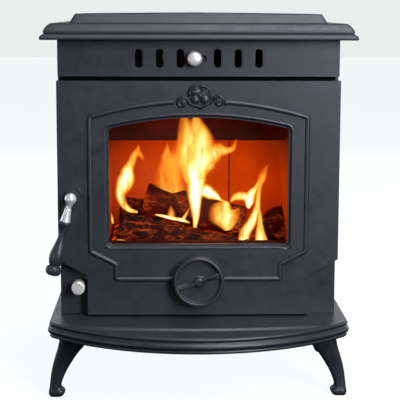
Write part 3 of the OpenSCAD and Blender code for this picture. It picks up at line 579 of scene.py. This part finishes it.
def leg(node, side, front):
    """Cabriole leg: a rounded square section that follows one curve both ways.

    The lines are (distance from the leg's middle, height) pairs.
    """
    square = 0.55               # under 1 squares off the leg's round section
    outer = [(34, 0), (35, 7), (33.7, 14), (32.8, 22), (30.3, 40), (26.4, 57), (21.2, 74), (17.5, 89),
             (16, 106)]
    inner = [(13, 0), (11, 3), (9.1, 7.5), (11.6, 11.5), (15.2, 14), (14.8, 20), (11, 31), (5.3, 43),
             (-3, 57), (-11.6, 70), (-19, 78), (-27, 90), (-36, 106)]
    deep = [(12, 0), (13, 7), (11.5, 14), (11, 25), (11.5, 45), (13.5, 65), (16, 85), (18, 106)]

    def at(line, z):
        for (r0, z0), (r1, z1) in zip(line, line[1:]):
            if z <= z1:
                return r0 + (r1 - r0) * (z - z0) / (z1 - z0)
        return line[-1][0]

    outer = [(r, z) for r, z in curve_through(outer, 6)]
    inner = [(r, z) for r, z in curve_through(inner, 6)]
    cx = side * (LEG_X if front else LEG_REAR_X)
    cy = LEG_FRONT_Y if front else LEG_REAR_Y
    heights = [0, 0.6, 1.6, 3, 5, 7, 9, 11, 13, 15, 17.5, 20, 24, 28, 33, 39, 46, 54, 62, 71, 80, 89, 97,
               103, 106]
    rows = []
    for z in heights:
        a, b = at(outer, z), at(inner, z)
        mid, half, side_half = (a + b) / 2, (a - b) / 2, at(deep, z)
        if z < 5:
            foot = 0.84 + 0.16 * math.sqrt(max(0.0, 1 - (1 - z / 5) ** 2))
            half *= foot
            side_half *= foot
        row = []
        for k in range(48):
            t = 2 * math.pi * k / 48
            u = math.copysign(abs(math.cos(t)) ** square, math.cos(t))
            v = math.copysign(abs(math.sin(t)) ** square, math.sin(t))
            row.append((cx + side * (mid + u * half), cy + v * side_half, z))
        rows.append(row)
    s = Shape()
    s.loops(rows, cap=(True, True))
    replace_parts(s.make(node + "_casting", PAINT, "stove", 60), node)


def window_bevel():
    """Smooth slope round the window, over the stepped edge of the door."""
    half, low, apex, radius = 138.5, 244.0, 441.0, 577.0

    def outline(grow):
        h, b, r = half + grow, low - grow, radius + grow
        top = apex - radius
        side_top = top + math.sqrt(r * r - h * h)
        ease = 6.0 + grow * 0.5
        line = []
        for k in range(31):
            line.append((-h + ease + (2 * h - 2 * ease) * k / 30, b))
        line += corner((h - ease, b), (h, b), (h, b + ease))
        for k in range(1, 20):
            line.append((h, b + ease + (side_top - b - 2 * ease) * k / 20))
        edge = h - ease
        high = top + math.sqrt(r * r - edge * edge)
        line += corner((h, side_top - ease), (h, side_top), (edge, high))
        for k in range(1, 60):
            x = edge - 2 * edge * k / 60
            line.append((x, top + math.sqrt(r * r - x * x)))
        line += corner((-edge, high), (-h, side_top), (-h, side_top - ease))
        for k in range(1, 20):
            line.append((-h, side_top - ease - (side_top - b - 2 * ease) * k / 20))
        line += corner((-h, b + ease), (-h, b), (-h + ease, b))[:-1]
        return line

    def corner(a, b, c):
        a, b, c = Vector(a), Vector(b), Vector(c)
        return [tuple(a.lerp(b, k / 6).lerp(b.lerp(c, k / 6), k / 6)) for k in range(7)]

    section = rounded([(7.6, -110.2), (6.6, -110.9), (4.6, -111.1), (0.4, -104.4), (-0.3, -103.2),
                       (-0.3, -100.4)], 1.0, 4)
    rows = [[(x, y, z) for x, z in outline(grow)] for grow, y in section]
    s = Shape()
    s.loops(rows)
    s.make("window_bevel", PAINT, "door")


def door_bead():
    """Rounded bead round the raised field, broken by the ornament and by the seat of the spin wheel."""
    half, foot, seat, ornament_half = 166.5, 127.0, 38.0, 38
    cheek, shoulder, ankle, low = 300, 233.5, 213.5, 190
    radius, middle = 574.5, 468.6 - 577.0       # of the arch
    across = (ornament_half + (half - ornament_half) * k / 40 for k in range(41))
    left = [(-x, middle + math.sqrt(radius ** 2 - x * x)) for x in across]
    corner = rounded([left[-2], left[-1], (-half, cheek)], 3.0, 5)[1:-1]
    turns = [(-half, cheek), (-half, shoulder), (-foot, ankle), (-foot, low), (-seat, low)]
    turns = rounded(turns, 3.0, 5)
    line = left[:-2] + corner + turns
    section = [(4.3, -108.6), (4.1, -110.4), (3.4, -111.9), (2.2, -113.0), (0.6, -113.6), (-1.0, -113.4),
               (-2.4, -112.6), (-3.4, -111.4), (-3.9, -110.0), (-3.9, -109.0)]
    s = Shape()
    for mirror in (1, -1):
        rows = []
        for i, (x, z) in enumerate(line):
            before, after = line[max(i - 1, 0)], line[min(i + 1, len(line) - 1)]
            way = Vector((after[0] - before[0], after[1] - before[1])).normalized()
            rows.append([(mirror * (x + way.y * u), y, z - way.x * u) for u, y in section])
        s.loops(rows, cap=(True, True))
    s.make("door_bead", PAINT, "door", 60)


def hearth():
    """Hearth plate with its moulded rim, eased corners and shallow crescent tray."""
    low, high = (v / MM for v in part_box("hearth_plate"))
    radius, count = 309.0, 96
    # the tray's back edge is a shallow arc, and it stays in front of the limit
    tray_rim, tray_back, tray_radius, tray_limit = 11, 66, 1011, -151
    tray_depth, tray_slope = 4, 4.5
    cy = low.y + radius

    def outline(inset):
        h, back, r = high.x - inset, high.y - inset, radius - inset
        ease = max(2.0, 9.0 - inset * 0.08)
        line = [(-h, back + (cy - math.sqrt(r * r - h * h) + ease - back) * k / 14) for k in range(14)]
        corner_y = cy - math.sqrt(r * r - h * h)
        edge = h - ease * 0.74
        edge_y = cy - math.sqrt(r * r - edge * edge)
        bend = []
        for k in range(8):
            t = k / 7
            a = Vector((-h, corner_y + ease)).lerp(Vector((-h, corner_y)), t)
            b = Vector((-h, corner_y)).lerp(Vector((-edge, edge_y)), t)
            bend.append(tuple(a.lerp(b, t)))
        line += bend
        for k in range(1, count):
            x = -edge + 2 * edge * k / count
            line.append((x, cy - math.sqrt(r * r - x * x)))
        line += [(-x, y) for x, y in reversed(bend)]
        line += [(h, back + (corner_y + ease - back) * k / 14) for k in reversed(range(14))]
        return line + [(h - 2 * h * k / 10, back) for k in range(1, 10)]

    def dish(x, y):
        """How deep the tray is at a point, from how far inside its rim and back edge that is."""
        from_arc = math.hypot(x, y - (low.y + tray_back + tray_radius)) - tray_radius
        inside = min(radius - tray_rim - math.hypot(x, y - cy), from_arc, tray_limit - y)
        t = min(1.0, max(0.0, inside / tray_slope))
        return tray_depth * t * t * (3 - 2 * t)

    moulding = [(15, 121), (14.5, 107), (13.5, 106), (6, 106), (4, 106.5), (2.9, 108.2), (3.1, 110.2),
                (4.2, 111.3), (3.0, 112.5), (0.9, 113.8), (0, 116.2), (0.2, 118.6), (1.6, 120.6),
                (3.8, 121.7), (4.7, 122.9), (4.2, 124.3), (2.8, 125.6), (2.2, 127.2), (2.8, 128.9),
                (4.2, 129.7), (6.5, 130)]
    rows = [[(x, y, 122) for x, y in outline(i)] for i in (150, 80, 30, 16)]
    rows += [[(x, y, z) for x, y in outline(i)] for i, z in moulding]
    flats = [8.5, 10] + [11 + 1.6 * k for k in range(42)] + [90, 115, 150]
    rows += [[(x, y, high.z - dish(x, y)) for x, y in outline(i)] for i in flats]
    s = Shape()
    s.loops(rows, cap=(True, True))
    for x, y in ((-LEG_X, LEG_FRONT_Y), (LEG_X, LEG_FRONT_Y),
                 (-LEG_REAR_X, LEG_REAR_Y), (LEG_REAR_X, LEG_REAR_Y)):
        pad = [(x - 20, y - 20), (x + 20, y - 20), (x + 20, y + 20), (x - 20, y + 20)]
        pad = rounded(pad, 2, 4, True)
        s.loops([[(a, b, z) for a, b in pad] for z in (106, 108, 123)], cap=(True, True))
    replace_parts(s.make("hearth_casting", PAINT, "stove", 70), "hearth_plate")


def top_casting():
    """Top plate: rounded lip, sloping moulding, flat ledge and a raised middle with a faint ridge."""
    low, high = (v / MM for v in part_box("top_plate"))
    crown_low, crown_high = Vector((-197, -95)), Vector((197, 190))
    ridge = 2
    crown_top = high.z - ridge

    def ring(near_corner, far_corner, inset, ease):
        """Rounded rectangle, inset from two opposite corners, with its long runs cut in steps."""
        x0, x1 = near_corner.x + inset, far_corner.x - inset
        y0, y1 = near_corner.y + inset, far_corner.y - inset
        line = rounded([(x0, y0), (0, y0), (x1, y0), (x1, y1), (0, y1), (x0, y1)], ease, 5, True)
        out = []
        for i, a in enumerate(line):
            b = line[(i + 1) % len(line)]
            steps = 12 if i % 6 == 5 else 1
            for k in range(steps):
                out.append((a[0] + (b[0] - a[0]) * k / steps, a[1] + (b[1] - a[1]) * k / steps))
        return out

    ledge = 25
    profile = [(60, 0), (2.6, 0), (0.9, 0.4), (0, 1.6), (0.3, 4.0), (1.5, 6.2), (3.2, 7.6), (5.0, 8.3),
               (6.3, 9.0), (6.2, 9.9), (5.4, 10.9), (5.5, 12.6), (6.8, 15.6), (9.0, 18.8), (11.6, 21.6),
               (14.0, 23.7), (16.4, 24.7), (19, ledge)]
    rows = [[(x, y, low.z + z) for x, y in ring(low, high, i, 4.0)] for i, z in profile]
    base = low.z + ledge
    slope = ((-2.5, base), (-0.6, base + 0.3), (0.5, base + 1.4), (7.2, crown_top - 1.4),
             (8.3, crown_top - 0.3), (10.2, crown_top))
    rows += [[(x, y, z) for x, y in ring(crown_low, crown_high, i, 5.0)] for i, z in slope]
    for i in (11, 40, 80, 120, 140):
        line = ring(crown_low, crown_high, i, 3.0)
        rows.append([(x, y, crown_top + ridge * (1 - abs(x) / (crown_high.x - 10))) for x, y in line])
    s = Shape()
    s.loops(rows, cap=(True, True))
    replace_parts(s.make("top_casting", TOP_PAINT, "stove", 60), "top_plate")


def flue_damper():
    """Turning plate inside the flue collar, shut."""
    low, high = (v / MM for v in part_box("flue_collar"))
    z = (low.z + high.z) / 2
    radius, spindle_half = 63.4, 59
    plate = rounded([(0, 0), (radius - 1.4, 0), (radius, 1), (radius, 3), (radius - 1.4, 4), (0, 4)], 0.6)
    spindle = rounded([(0, 0), (4, 0), (4, 2 * spindle_half), (0, 2 * spindle_half)], 0.8)
    s = Shape()
    s.lathe(plate, (0, high.y - 34, z), (0, 1, 0), 96)
    s.lathe(spindle, (-spindle_half, high.y - 32, z), (1, 0, 0), 24)
    s.make("flue_damper", IRON, "stove", 50)


def gap_shade_seal():
    """Rope seal in the gap between the door and the panel over it, made near black as painted shade of the
    gap.
    """
    x, y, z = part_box("door_panel")[1].x / MM - 6, DOOR_Y + 17, 500.2
    s = Shape()
    profile = [(0, 0), (2.4, 0.6), (2.6, 2), (2.6, 2 * x - 2), (2.4, 2 * x - 0.6), (0, 2 * x)]
    s.lathe(profile, (-x, y, z), (1, 0, 0), 16)
    s.make("gap_shade_seal", GAP_SHADE_ROPE, "stove")


def brick_joint():
    """Joint between the two back bricks, drawn as a dark strip: painted shade of the groove, with a painted
    dull red glow of firelight.
    """
    low, high = (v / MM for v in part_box("brick_back_narrow"))
    s = Shape()
    rows = []
    for k in range(60):
        z = low.z + (high.z - low.z) * k / 59
        wide = 1.1 + 0.5 * noise.noise(Vector((0, 0, z * 0.12)))
        rows.append([(low.x - wide, low.y - 0.1, z), (low.x - wide * 0.5, low.y - 0.5, z),
                     (low.x + wide * 0.5, low.y - 0.5, z), (low.x + wide, low.y - 0.1, z)])
    s.loops(rows, closed=False)
    s.make("brick_joint", JOINT_SHADE_AND_GLOW, "stove")


def ornament():
    """Flower between two scrolls, as a cast relief.

    domes are x, z, radius, rise; ridges are a line, its half width and its rise.
    """
    domes = [(-5.5, 481.2, 8.0, 3.0), (7.6, 478.8, 9.4, 2.6), (-5.2, 468.4, 6.6, 4.4),
             (9.4, 468.8, 7.0, 4.4), (1.8, 474.5, 3.4, 4.6), (2.0, 457.4, 3.6, 3.4),
             (-26.2, 463.8, 7.6, 1.6), (30.6, 465.2, 7.4, 1.6)]
    left_stem = [(-27.5, 471.2), (-22, 471.4), (-17.4, 468), (-14, 463.4), (-8, 460.2), (0, 458.6)]
    right_stem = [(2, 458.6), (11, 460.8), (18, 464.6), (22.4, 471), (30.6, 475.0), (38.2, 471),
                  (42.5, 461.5)]
    ridges = [(arc(6.2, 477.8, 11.2, 11.0, 105, -25), 1.9, 4.4),
              (arc(-4.0, 479.6, 10.4, 10.6, 85, 200), 1.9, 4.0),
              (arc(7.0, 479.0, 5.2, 5.2, 120, -30), 1.1, 3.7),
              (arc(-5.2, 481.0, 4.6, 4.6, 60, 200), 1.1, 3.9),
              (arc(-26.2, 463.8, 1.2, 7.4, 470, 100, 40), 1.7, 3.9),
              (curve_through(left_stem, 4), 1.8, 3.9),
              (arc(30.6, 465.2, 1.2, 7.6, -290, 80, 40), 1.7, 3.9),
              (curve_through(right_stem, 4), 1.8, 3.9)]

    def height(x, z):
        h = 0.0
        for cx, cz, r, top in domes:
            d = ((x - cx) ** 2 + (z - cz) ** 2) / (r * r)
            if d < 1:
                h = max(h, top * math.sqrt(1 - d))
        for line, wide, top in ridges:
            d = near(x, z, line) / wide
            if d < 1:
                h = max(h, top * math.sqrt(1 - d * d) * 0.92 + 0.3)
        return h

    left, foot, wide, tall, step = -42, 451, 88, 42, 0.5
    sunk, steepness, thinnest = 0.15, 1.35, 0.15
    nx, nz = int(wide / step), int(tall / step)
    grid = {}
    s = Shape()
    rise = [[height(left + i * step, foot + j * step) for i in range(nx + 1)] for j in range(nz + 1)]
    for _ in range(2):
        rise = [[(rise[j][i] * 4 + rise[j][max(i - 1, 0)] + rise[j][min(i + 1, nx)] + rise[max(j - 1, 0)][i]
                  + rise[min(j + 1, nz)][i]) / 8 for i in range(nx + 1)] for j in range(nz + 1)]
    for j in range(nz):
        for i in range(nx):
            cell = [(i, j), (i + 1, j), (i + 1, j + 1), (i, j + 1)]
            if max(rise[b][a] for a, b in cell) < thinnest:
                continue
            face = []
            for a, b in cell:
                if (a, b) not in grid:
                    grid[a, b] = len(s.verts)
                    y = FIELD_Y + sunk - steepness * rise[b][a]
                    s.verts.append((left + a * step, y, foot + b * step))
                face.append(grid[a, b])
            s.faces.append(tuple(face))
    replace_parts(s.make("ornament_relief", PAINT, "door"), "door_ornament")


def lever_stop():
    """Cast rib that the lever's boss meets, a short arc by the pivot."""
    radius, half_wide, proud = 15.0, 1.5, 2.0
    rows = []
    for k in range(25):
        t = k / 24
        a = math.radians(-8 + 62 * t)
        taper = math.sqrt(max(0.0, 1 - (2 * t - 1) ** 6)) + 0.05
        row = []
        for j in range(9):
            b = math.pi * j / 8
            r = radius + half_wide * math.cos(b) * taper
            y = DOOR_Y + 0.1 - proud * math.sin(b) * taper
            row.append((PIVOT[0] + r * math.cos(a), y, PIVOT[2] + r * math.sin(a)))
        rows.append(row)
    s = Shape()
    s.loops(rows, closed=False)
    s.make("lever_stop", PAINT, "door")


# ---------------------------------------------------------------- fire

# name, depth, then points up each tongue: x, z, half width, heat
FLAMES = [
    ("left_tall", 10, [
        (-97, 276, 2, 0.75), (-111, 280, 4.1, 0.8), (-121, 291, 6.1, 0.8), (-124, 308, 8.5, 0.9),
        (-117, 326, 12.6, 1), (-113, 343, 9.8, 0.9), (-108, 355, 6.9, 0.6), (-101, 369, 6.1, 0.5),
        (-96, 379, 4.5, 0.45), (-95, 388, 0.8, 0.2)
    ]),
    ("left_fork", 14, [
        (-103, 365, 3.7, 0.4), (-96, 373, 4.1, 0.42), (-91, 369, 3.7, 0.4), (-86, 360, 0.8, 0.2)
    ]),
    ("column", -34, [
        (-4, 258, 2.8, 0.6), (-3, 279, 6.2, 0.75), (-4, 300, 9.3, 1.0), (-3, 320, 12.5, 1.05),
        (-2, 338, 14.3, 1.05), (-1, 357, 17.3, 0.92), (3, 377, 21.5, 0.8), (6, 393, 19.1, 0.74),
        (3, 408, 14.3, 0.68), (0, 422, 10.9, 0.62), (-4, 438, 5, 0.45)
    ]),
    ("column_left", -31, [
        (-5, 308, 2, 0.4), (-9, 324, 6, 0.55), (-14, 342, 10, 0.6), (-18, 360, 13.2, 0.62),
        (-17, 378, 15.6, 0.66), (-14, 394, 16.2, 0.66), (-15, 408, 15.6, 0.6), (-19, 422, 12.1, 0.5),
        (-23, 435, 6.1, 0.35)
    ]),
    ("column_veil", -28, [
        (-30, 318, 4, 0.25), (-36, 334, 12, 0.36), (-38, 350, 17, 0.40), (-34, 366, 17, 0.42),
        (-28, 382, 13, 0.40), (-26, 398, 8, 0.34), (-28, 412, 3, 0.2)
    ]),
    ("sheet", 30, [
        (-40, 306, 24.6, 0.5), (-44, 323, 24.2, 0.48), (-47, 340, 21.3, 0.45), (-48, 356, 12.3, 0.45),
        (-48, 373, 6.2, 0.45), (-48, 388, 1, 0.2)
    ]),
    ("right_wing", -29, [
        (0, 334, 8.1, 0.9), (6, 353, 12.8, 0.82), (18, 370, 15.6, 0.76), (33, 381, 12.1, 0.7),
        (46, 382, 6.1, 0.55), (57, 386, 4.5, 0.42), (62, 400, 1, 0.2)
    ]),
    ("log_top", 0, [
        (-3, 311, 8.1, 1), (10, 314, 10.5, 1), (22, 308, 8.9, 1), (32, 303, 5.3, 0.95),
        (40, 297, 2, 0.8), (51, 292, 2.8, 0.6)
    ]),
    ("right_lick", 12, [
        (85, 282, 2.4, 0.9), (86, 293, 7.3, 1), (90, 305, 6.9, 0.95), (97, 317, 3.7, 0.75),
        (103, 329, 1.6, 0.4)
    ]),
    ("right_low", 18, [
        (56, 292, 1.6, 0.5), (64, 300, 6.1, 0.6), (75, 302, 6.9, 0.75), (84, 297, 6.1, 0.95)
    ]),
    ("right_tall", -22, [
        (71, 232, 6.8, 0.9), (78, 246, 8.8, 0.75), (88, 264, 7.2, 0.8), (95, 285, 5.2, 0.72),
        (98, 305, 4.4, 0.6), (100, 324, 4.4, 0.5), (105, 340, 6.8, 0.45), (113, 358, 1.2, 0.2)
    ]),
    ("right_back", -16, [
        (104, 229, 9.6, 0.95), (103, 247, 7.2, 0.7), (102, 267, 4.4, 0.6), (100, 288, 2.4, 0.45),
        (99, 302, 0.8, 0.2)
    ]),
    ("right_fork", -19, [(100, 264, 3.2, 0.5), (106, 249, 3.2, 0.55), (113, 231, 3.2, 0.6)]),
    ("log_face", -12, [
        (51, 250, 6, 0.55), (49, 261, 15.7, 0.68), (46, 273, 22.5, 0.72), (43, 284, 20.1, 0.66),
        (48, 297, 4.4, 0.7)
    ]),
    ("under_log", -14, [
        (-68, 276, 1.2, 0.6), (-53, 273, 2.4, 0.9), (-37, 269, 2.8, 0.95), (-23, 266, 2.8, 0.9),
        (-12, 262, 1, 0.5)
    ]),
    ("under_rise", -12, [(-41, 270, 6.8, 0.6), (-42, 280, 5.2, 0.42), (-43, 290, 1.2, 0.2)]),
    ("under_tip", -13, [(-24, 266, 3.2, 0.7), (-18, 276, 2.4, 0.55), (-12, 288, 0.8, 0.25)]),
    ("small_left", -30, [(-136, 264, 2, 0.6), (-137, 272, 2, 0.65), (-138, 281, 0.6, 0.3)]),
    ("base_left", -36, [
        (-129, 236, 4, 0.45), (-113, 238, 4.4, 0.6), (-97, 234, 3.6, 0.6), (-89, 232, 1.2, 0.3)
    ]),
    ("base_mid", -40, [
        (-12, 244, 1.6, 0.6), (1, 236, 2, 0.7), (7, 243, 2, 0.75), (17, 234, 2.4, 0.7),
        (39, 233, 1.6, 0.5)
    ]),
]


def flame_tongue(name, depth, points):
    """A curved sheet along the points; hotness fades to nothing at its edges."""
    across = 12
    spine = curve_through(points, 6)
    verts, faces, heats = [], [], []
    for i, (x, z, half, heat) in enumerate(spine):
        ax, az = spine[max(i - 1, 0)][:2]
        bx, bz = spine[min(i + 1, len(spine) - 1)][:2]
        length = math.hypot(bx - ax, bz - az) or 1.0
        nx, nz = (bz - az) / length, -(bx - ax) / length
        half = max(half, 0.3) * 1.25
        for k in range(across + 1):
            u = 2 * k / across - 1
            lean = noise.noise(Vector((x * 0.05, z * 0.05, depth))) * 0.18 * half
            bulge = 0.45 * half * (1 - u * u)
            verts.append((x + nx * (u * half + lean), depth - bulge, z + nz * (u * half + lean)))
            heats.append(max(0.0, heat * (1 - abs(u) ** 2.2)))
    for i in range(len(spine) - 1):
        for k in range(across):
            a = i * (across + 1) + k
            faces.append((a, a + 1, a + across + 2, a + across + 1))
    me = bpy.data.meshes.new(name)
    me.from_pydata([Vector(v) * MM for v in verts], [], faces)
    at = me.attributes.new("hotness", "FLOAT", "POINT")
    at.data.foreach_set("value", heats)
    for face in me.polygons:
        face.use_smooth = True
    me.materials.append(FLAME.material)
    ob = bpy.data.objects.new(name, me)
    scene.collection.objects.link(ob)
    ob.visible_shadow = False
    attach(ob, "stove")


def log(name, start, end, radius, look, seed, squash=1.0, lump=0.10, split=0.0):
    """A rough log between two points; split flattens one face like a cleft billet."""
    cleft_turn = 2.2            # which way the flat face looks, in radians
    a, b = Vector(start), Vector(end)
    along = (b - a).normalized()
    side = along.cross(Vector((0, 0, 1))).normalized()
    up = side.cross(along).normalized()
    rings, around = 34, 40
    verts, faces = [], []
    for i in range(rings + 1):
        t = i / rings
        c = a.lerp(b, t)
        ends = min(t, 1 - t) * rings
        shrink = 1.0 if ends >= 1.5 else 0.93 + 0.045 * ends
        for k in range(around):
            ang = 2 * math.pi * k / around
            d = Vector((math.cos(ang), math.sin(ang), 0))
            r = radius * shrink
            r *= 1 + lump * noise.noise(Vector((d.x * 1.3, d.y * 1.3, t * 4 + seed)))
            r *= 1 + 0.05 * noise.noise(Vector((d.x * 6, d.y * 6, t * 9 + seed)))
            facing = math.cos(ang - cleft_turn)
            if split and facing > 0:
                r = min(r, radius * split / max(0.05, facing))
            p = c + side * (d.x * r) + up * (d.y * r * squash)
            verts.append((p.x, p.y, max(p.z, GRATE_TOP + 1)))
    for i in range(rings):
        for k in range(around):
            n = (k + 1) % around
            faces.append((i * around + k, i * around + n, (i + 1) * around + n, (i + 1) * around + k))
    for i, end_point in ((0, a), (rings, b)):
        m = len(verts)
        verts.append((end_point.x, end_point.y, max(end_point.z, GRATE_TOP + 1)))
        for k in range(around):
            n = (k + 1) % around
            faces.append((m, i * around + k, i * around + n))
    put(name, verts, faces, look, "stove")


def ember_bed():
    """Loose lumps of ember and ash over the grate."""
    nx, ny = 90, 70
    x0, x1, y0, y1, z = -141.0, 141.0, -57.0, 166.0, GRATE_TOP + 2
    rim_wide, deep = 14, 8
    verts, faces = [], []
    for j in range(ny + 1):
        for i in range(nx + 1):
            x = x0 + (x1 - x0) * i / nx
            y = y0 + (y1 - y0) * j / ny
            lumps = noise.noise(Vector((x * 0.045, y * 0.045, 3))) * 5
            grit = noise.noise(Vector((x * 0.16, y * 0.16, 7))) * 3.5
            rim = min(1.0, min(x - x0, x1 - x, y - y0, y1 - y) / rim_wide)
            verts.append((x, y, z + rim * (deep + (lumps + grit))))
    for j in range(ny):
        for i in range(nx):
            a = j * (nx + 1) + i
            faces.append((a, a + 1, a + nx + 2, a + nx + 1))
    put("ember_bed", verts, faces, EMBER, "stove")


def build_fire():
    """Embers, logs and flames; they have no solid in the CAD."""
    ember_bed()
    log("log_main", (-84, 36, 296), (78, 22, 256), 29, BARK, 1.0, squash=0.92, split=0.86)
    log("log_front", (-126, -24, 258), (62, -34, 216), 23, CHAR, 5.0, lump=0.16)
    log("log_right", (118, -18, 243), (142, 60, 258), 24, CHAR, 9.0, lump=0.2)
    log("log_back", (-128, 84, 270), (30, 96, 250), 21, CHAR, 13.0)
    for name, depth, points in FLAMES:
        flame_tongue("flame_" + name, depth, points)


# ---------------------------------------------------------------- stage

def lamp(name, place, aim, size, power, colour):
    """Rectangular light that the camera doesn't see; places are in metres."""
    data = bpy.data.lights.new(name, "AREA")
    data.shape = "RECTANGLE"
    data.size, data.size_y = size
    data.energy = power
    data.color = colour
    ob = bpy.data.objects.new(name, data)
    scene.collection.objects.link(ob)
    ob.location = place
    ob.rotation_euler = (Vector(aim) - Vector(place)).to_track_quat("-Z", "Y").to_euler()
    ob.visible_camera = False


def glow_lamp(name, place, radius, power, colour):
    """Small warm light inside the fire."""
    data = bpy.data.lights.new(name, "POINT")
    data.energy = power
    data.color = colour
    data.shadow_soft_size = radius
    ob = bpy.data.objects.new(name, data)
    scene.collection.objects.link(ob)
    ob.location = place


def build_stage():
    """Pale floor and room, with a cool key light from the right."""
    m = Mat("studio_floor")
    tinted(m, (0.12, 0.125, 0.13), 3.0, 0.01, (0.8, 0.9))
    m.set(Emission_Color=(0.90, 0.92, 0.925, 1.0), Emission_Strength=1.0, Specular_IOR_Level=0.1)
    me = bpy.data.meshes.new("floor")
    bm = bmesh.new()
    bmesh.ops.create_grid(bm, x_segments=8, y_segments=8, size=14.0)
    bm.to_mesh(me)
    bm.free()
    me.materials.append(m.material)
    ob = bpy.data.objects.new("floor", me)
    scene.collection.objects.link(ob)
    ob.visible_diffuse = False
    ob.visible_glossy = False
    world = bpy.data.worlds.new("studio")
    scene.world = world
    world.use_nodes = True
    bg = world.node_tree.nodes["Background"]
    bg.inputs["Color"].default_value = (0.83, 0.85, 0.84, 1)
    bg.inputs["Strength"].default_value = 1.0
    world.cycles_visibility.diffuse = False
    world.cycles_visibility.glossy = False
    lamp("key", (1.10, -2.2, 1.16), (0.1, -0.1, 0.42), (0.7, 1.3), 74, (0.85, 0.89, 1.0))
    lamp("top", (0.25, -0.03, 2.6), (0.05, -0.03, 0.3), (0.7, 0.5), 14, (0.90, 0.94, 1.0))
    lamp("over_front", (0.5, -1.0, 2.3), (0.0, -0.25, 0.12), (1.2, 0.5), 38, (0.90, 0.93, 1.0))
    lamp("low_left", (-1.6, -1.5, 0.30), (-0.2, -0.2, 0.12), (0.6, 0.3), 5, (0.93, 0.95, 1.0))
    lamp("back_card", (0.0, 3.4, 1.1), (0.0, 0.0, 0.3), (6.0, 0.9), 34, (0.97, 0.98, 1.0))
    lamp("left_card", (-3.0, 1.3, 0.9), (0.0, 0.1, 0.3), (3.4, 2.2), 30, (0.97, 0.98, 1.0))
    lamp("right_card", (3.0, 1.3, 0.9), (0.0, 0.1, 0.3), (3.4, 2.2), 26, (0.97, 0.98, 1.0))
    scene.view_settings.view_transform = "Standard"


def build_camera():
    """Camera fitted to the photo: level with the top plate, a little left of the middle."""
    data = bpy.data.cameras.new("camera")
    data.sensor_width = 36.0
    data.lens = 113.04
    cam = bpy.data.objects.new("camera", data)
    scene.collection.objects.link(cam)
    cam.location = (-0.050, -2.024, 0.605)
    aim = Vector((0.002, -0.109, 0.314))
    look = (aim - cam.location).to_track_quat("-Z", "Y").to_matrix().to_4x4()
    cam.matrix_world = Matrix.Translation(cam.location) @ look @ Matrix.Rotation(math.radians(0.15), 4, "Z")
    scene.camera = cam


build_camera()
build_stage()
paint_nodes()
for name, width in (("upper_front_panel", 1.2), ("door_panel", 1.0), ("front_frame", 0.6),
                    ("side_left", 0.8), ("side_right", 0.8), ("back_plate", 0.8), ("flue_collar", 1.0)):
    soften(name, width)
door_bead()
top_casting()
hearth()
flue_damper()
brick_joint()
gap_shade_seal()
air_wheel()
handle()
knobs()
window_bevel()
ornament()
lever_stop()
for name, side, front in (("leg_front_left", -1, True), ("leg_front_right", 1, True),
                          ("leg_rear_left", -1, False), ("leg_rear_right", 1, False)):
    leg(name, side, front)
build_fire()
glow_lamp("fire_glow", (0.0, -0.02, 0.33), 0.05, 0.5, (1.0, 0.42, 0.12))

import json
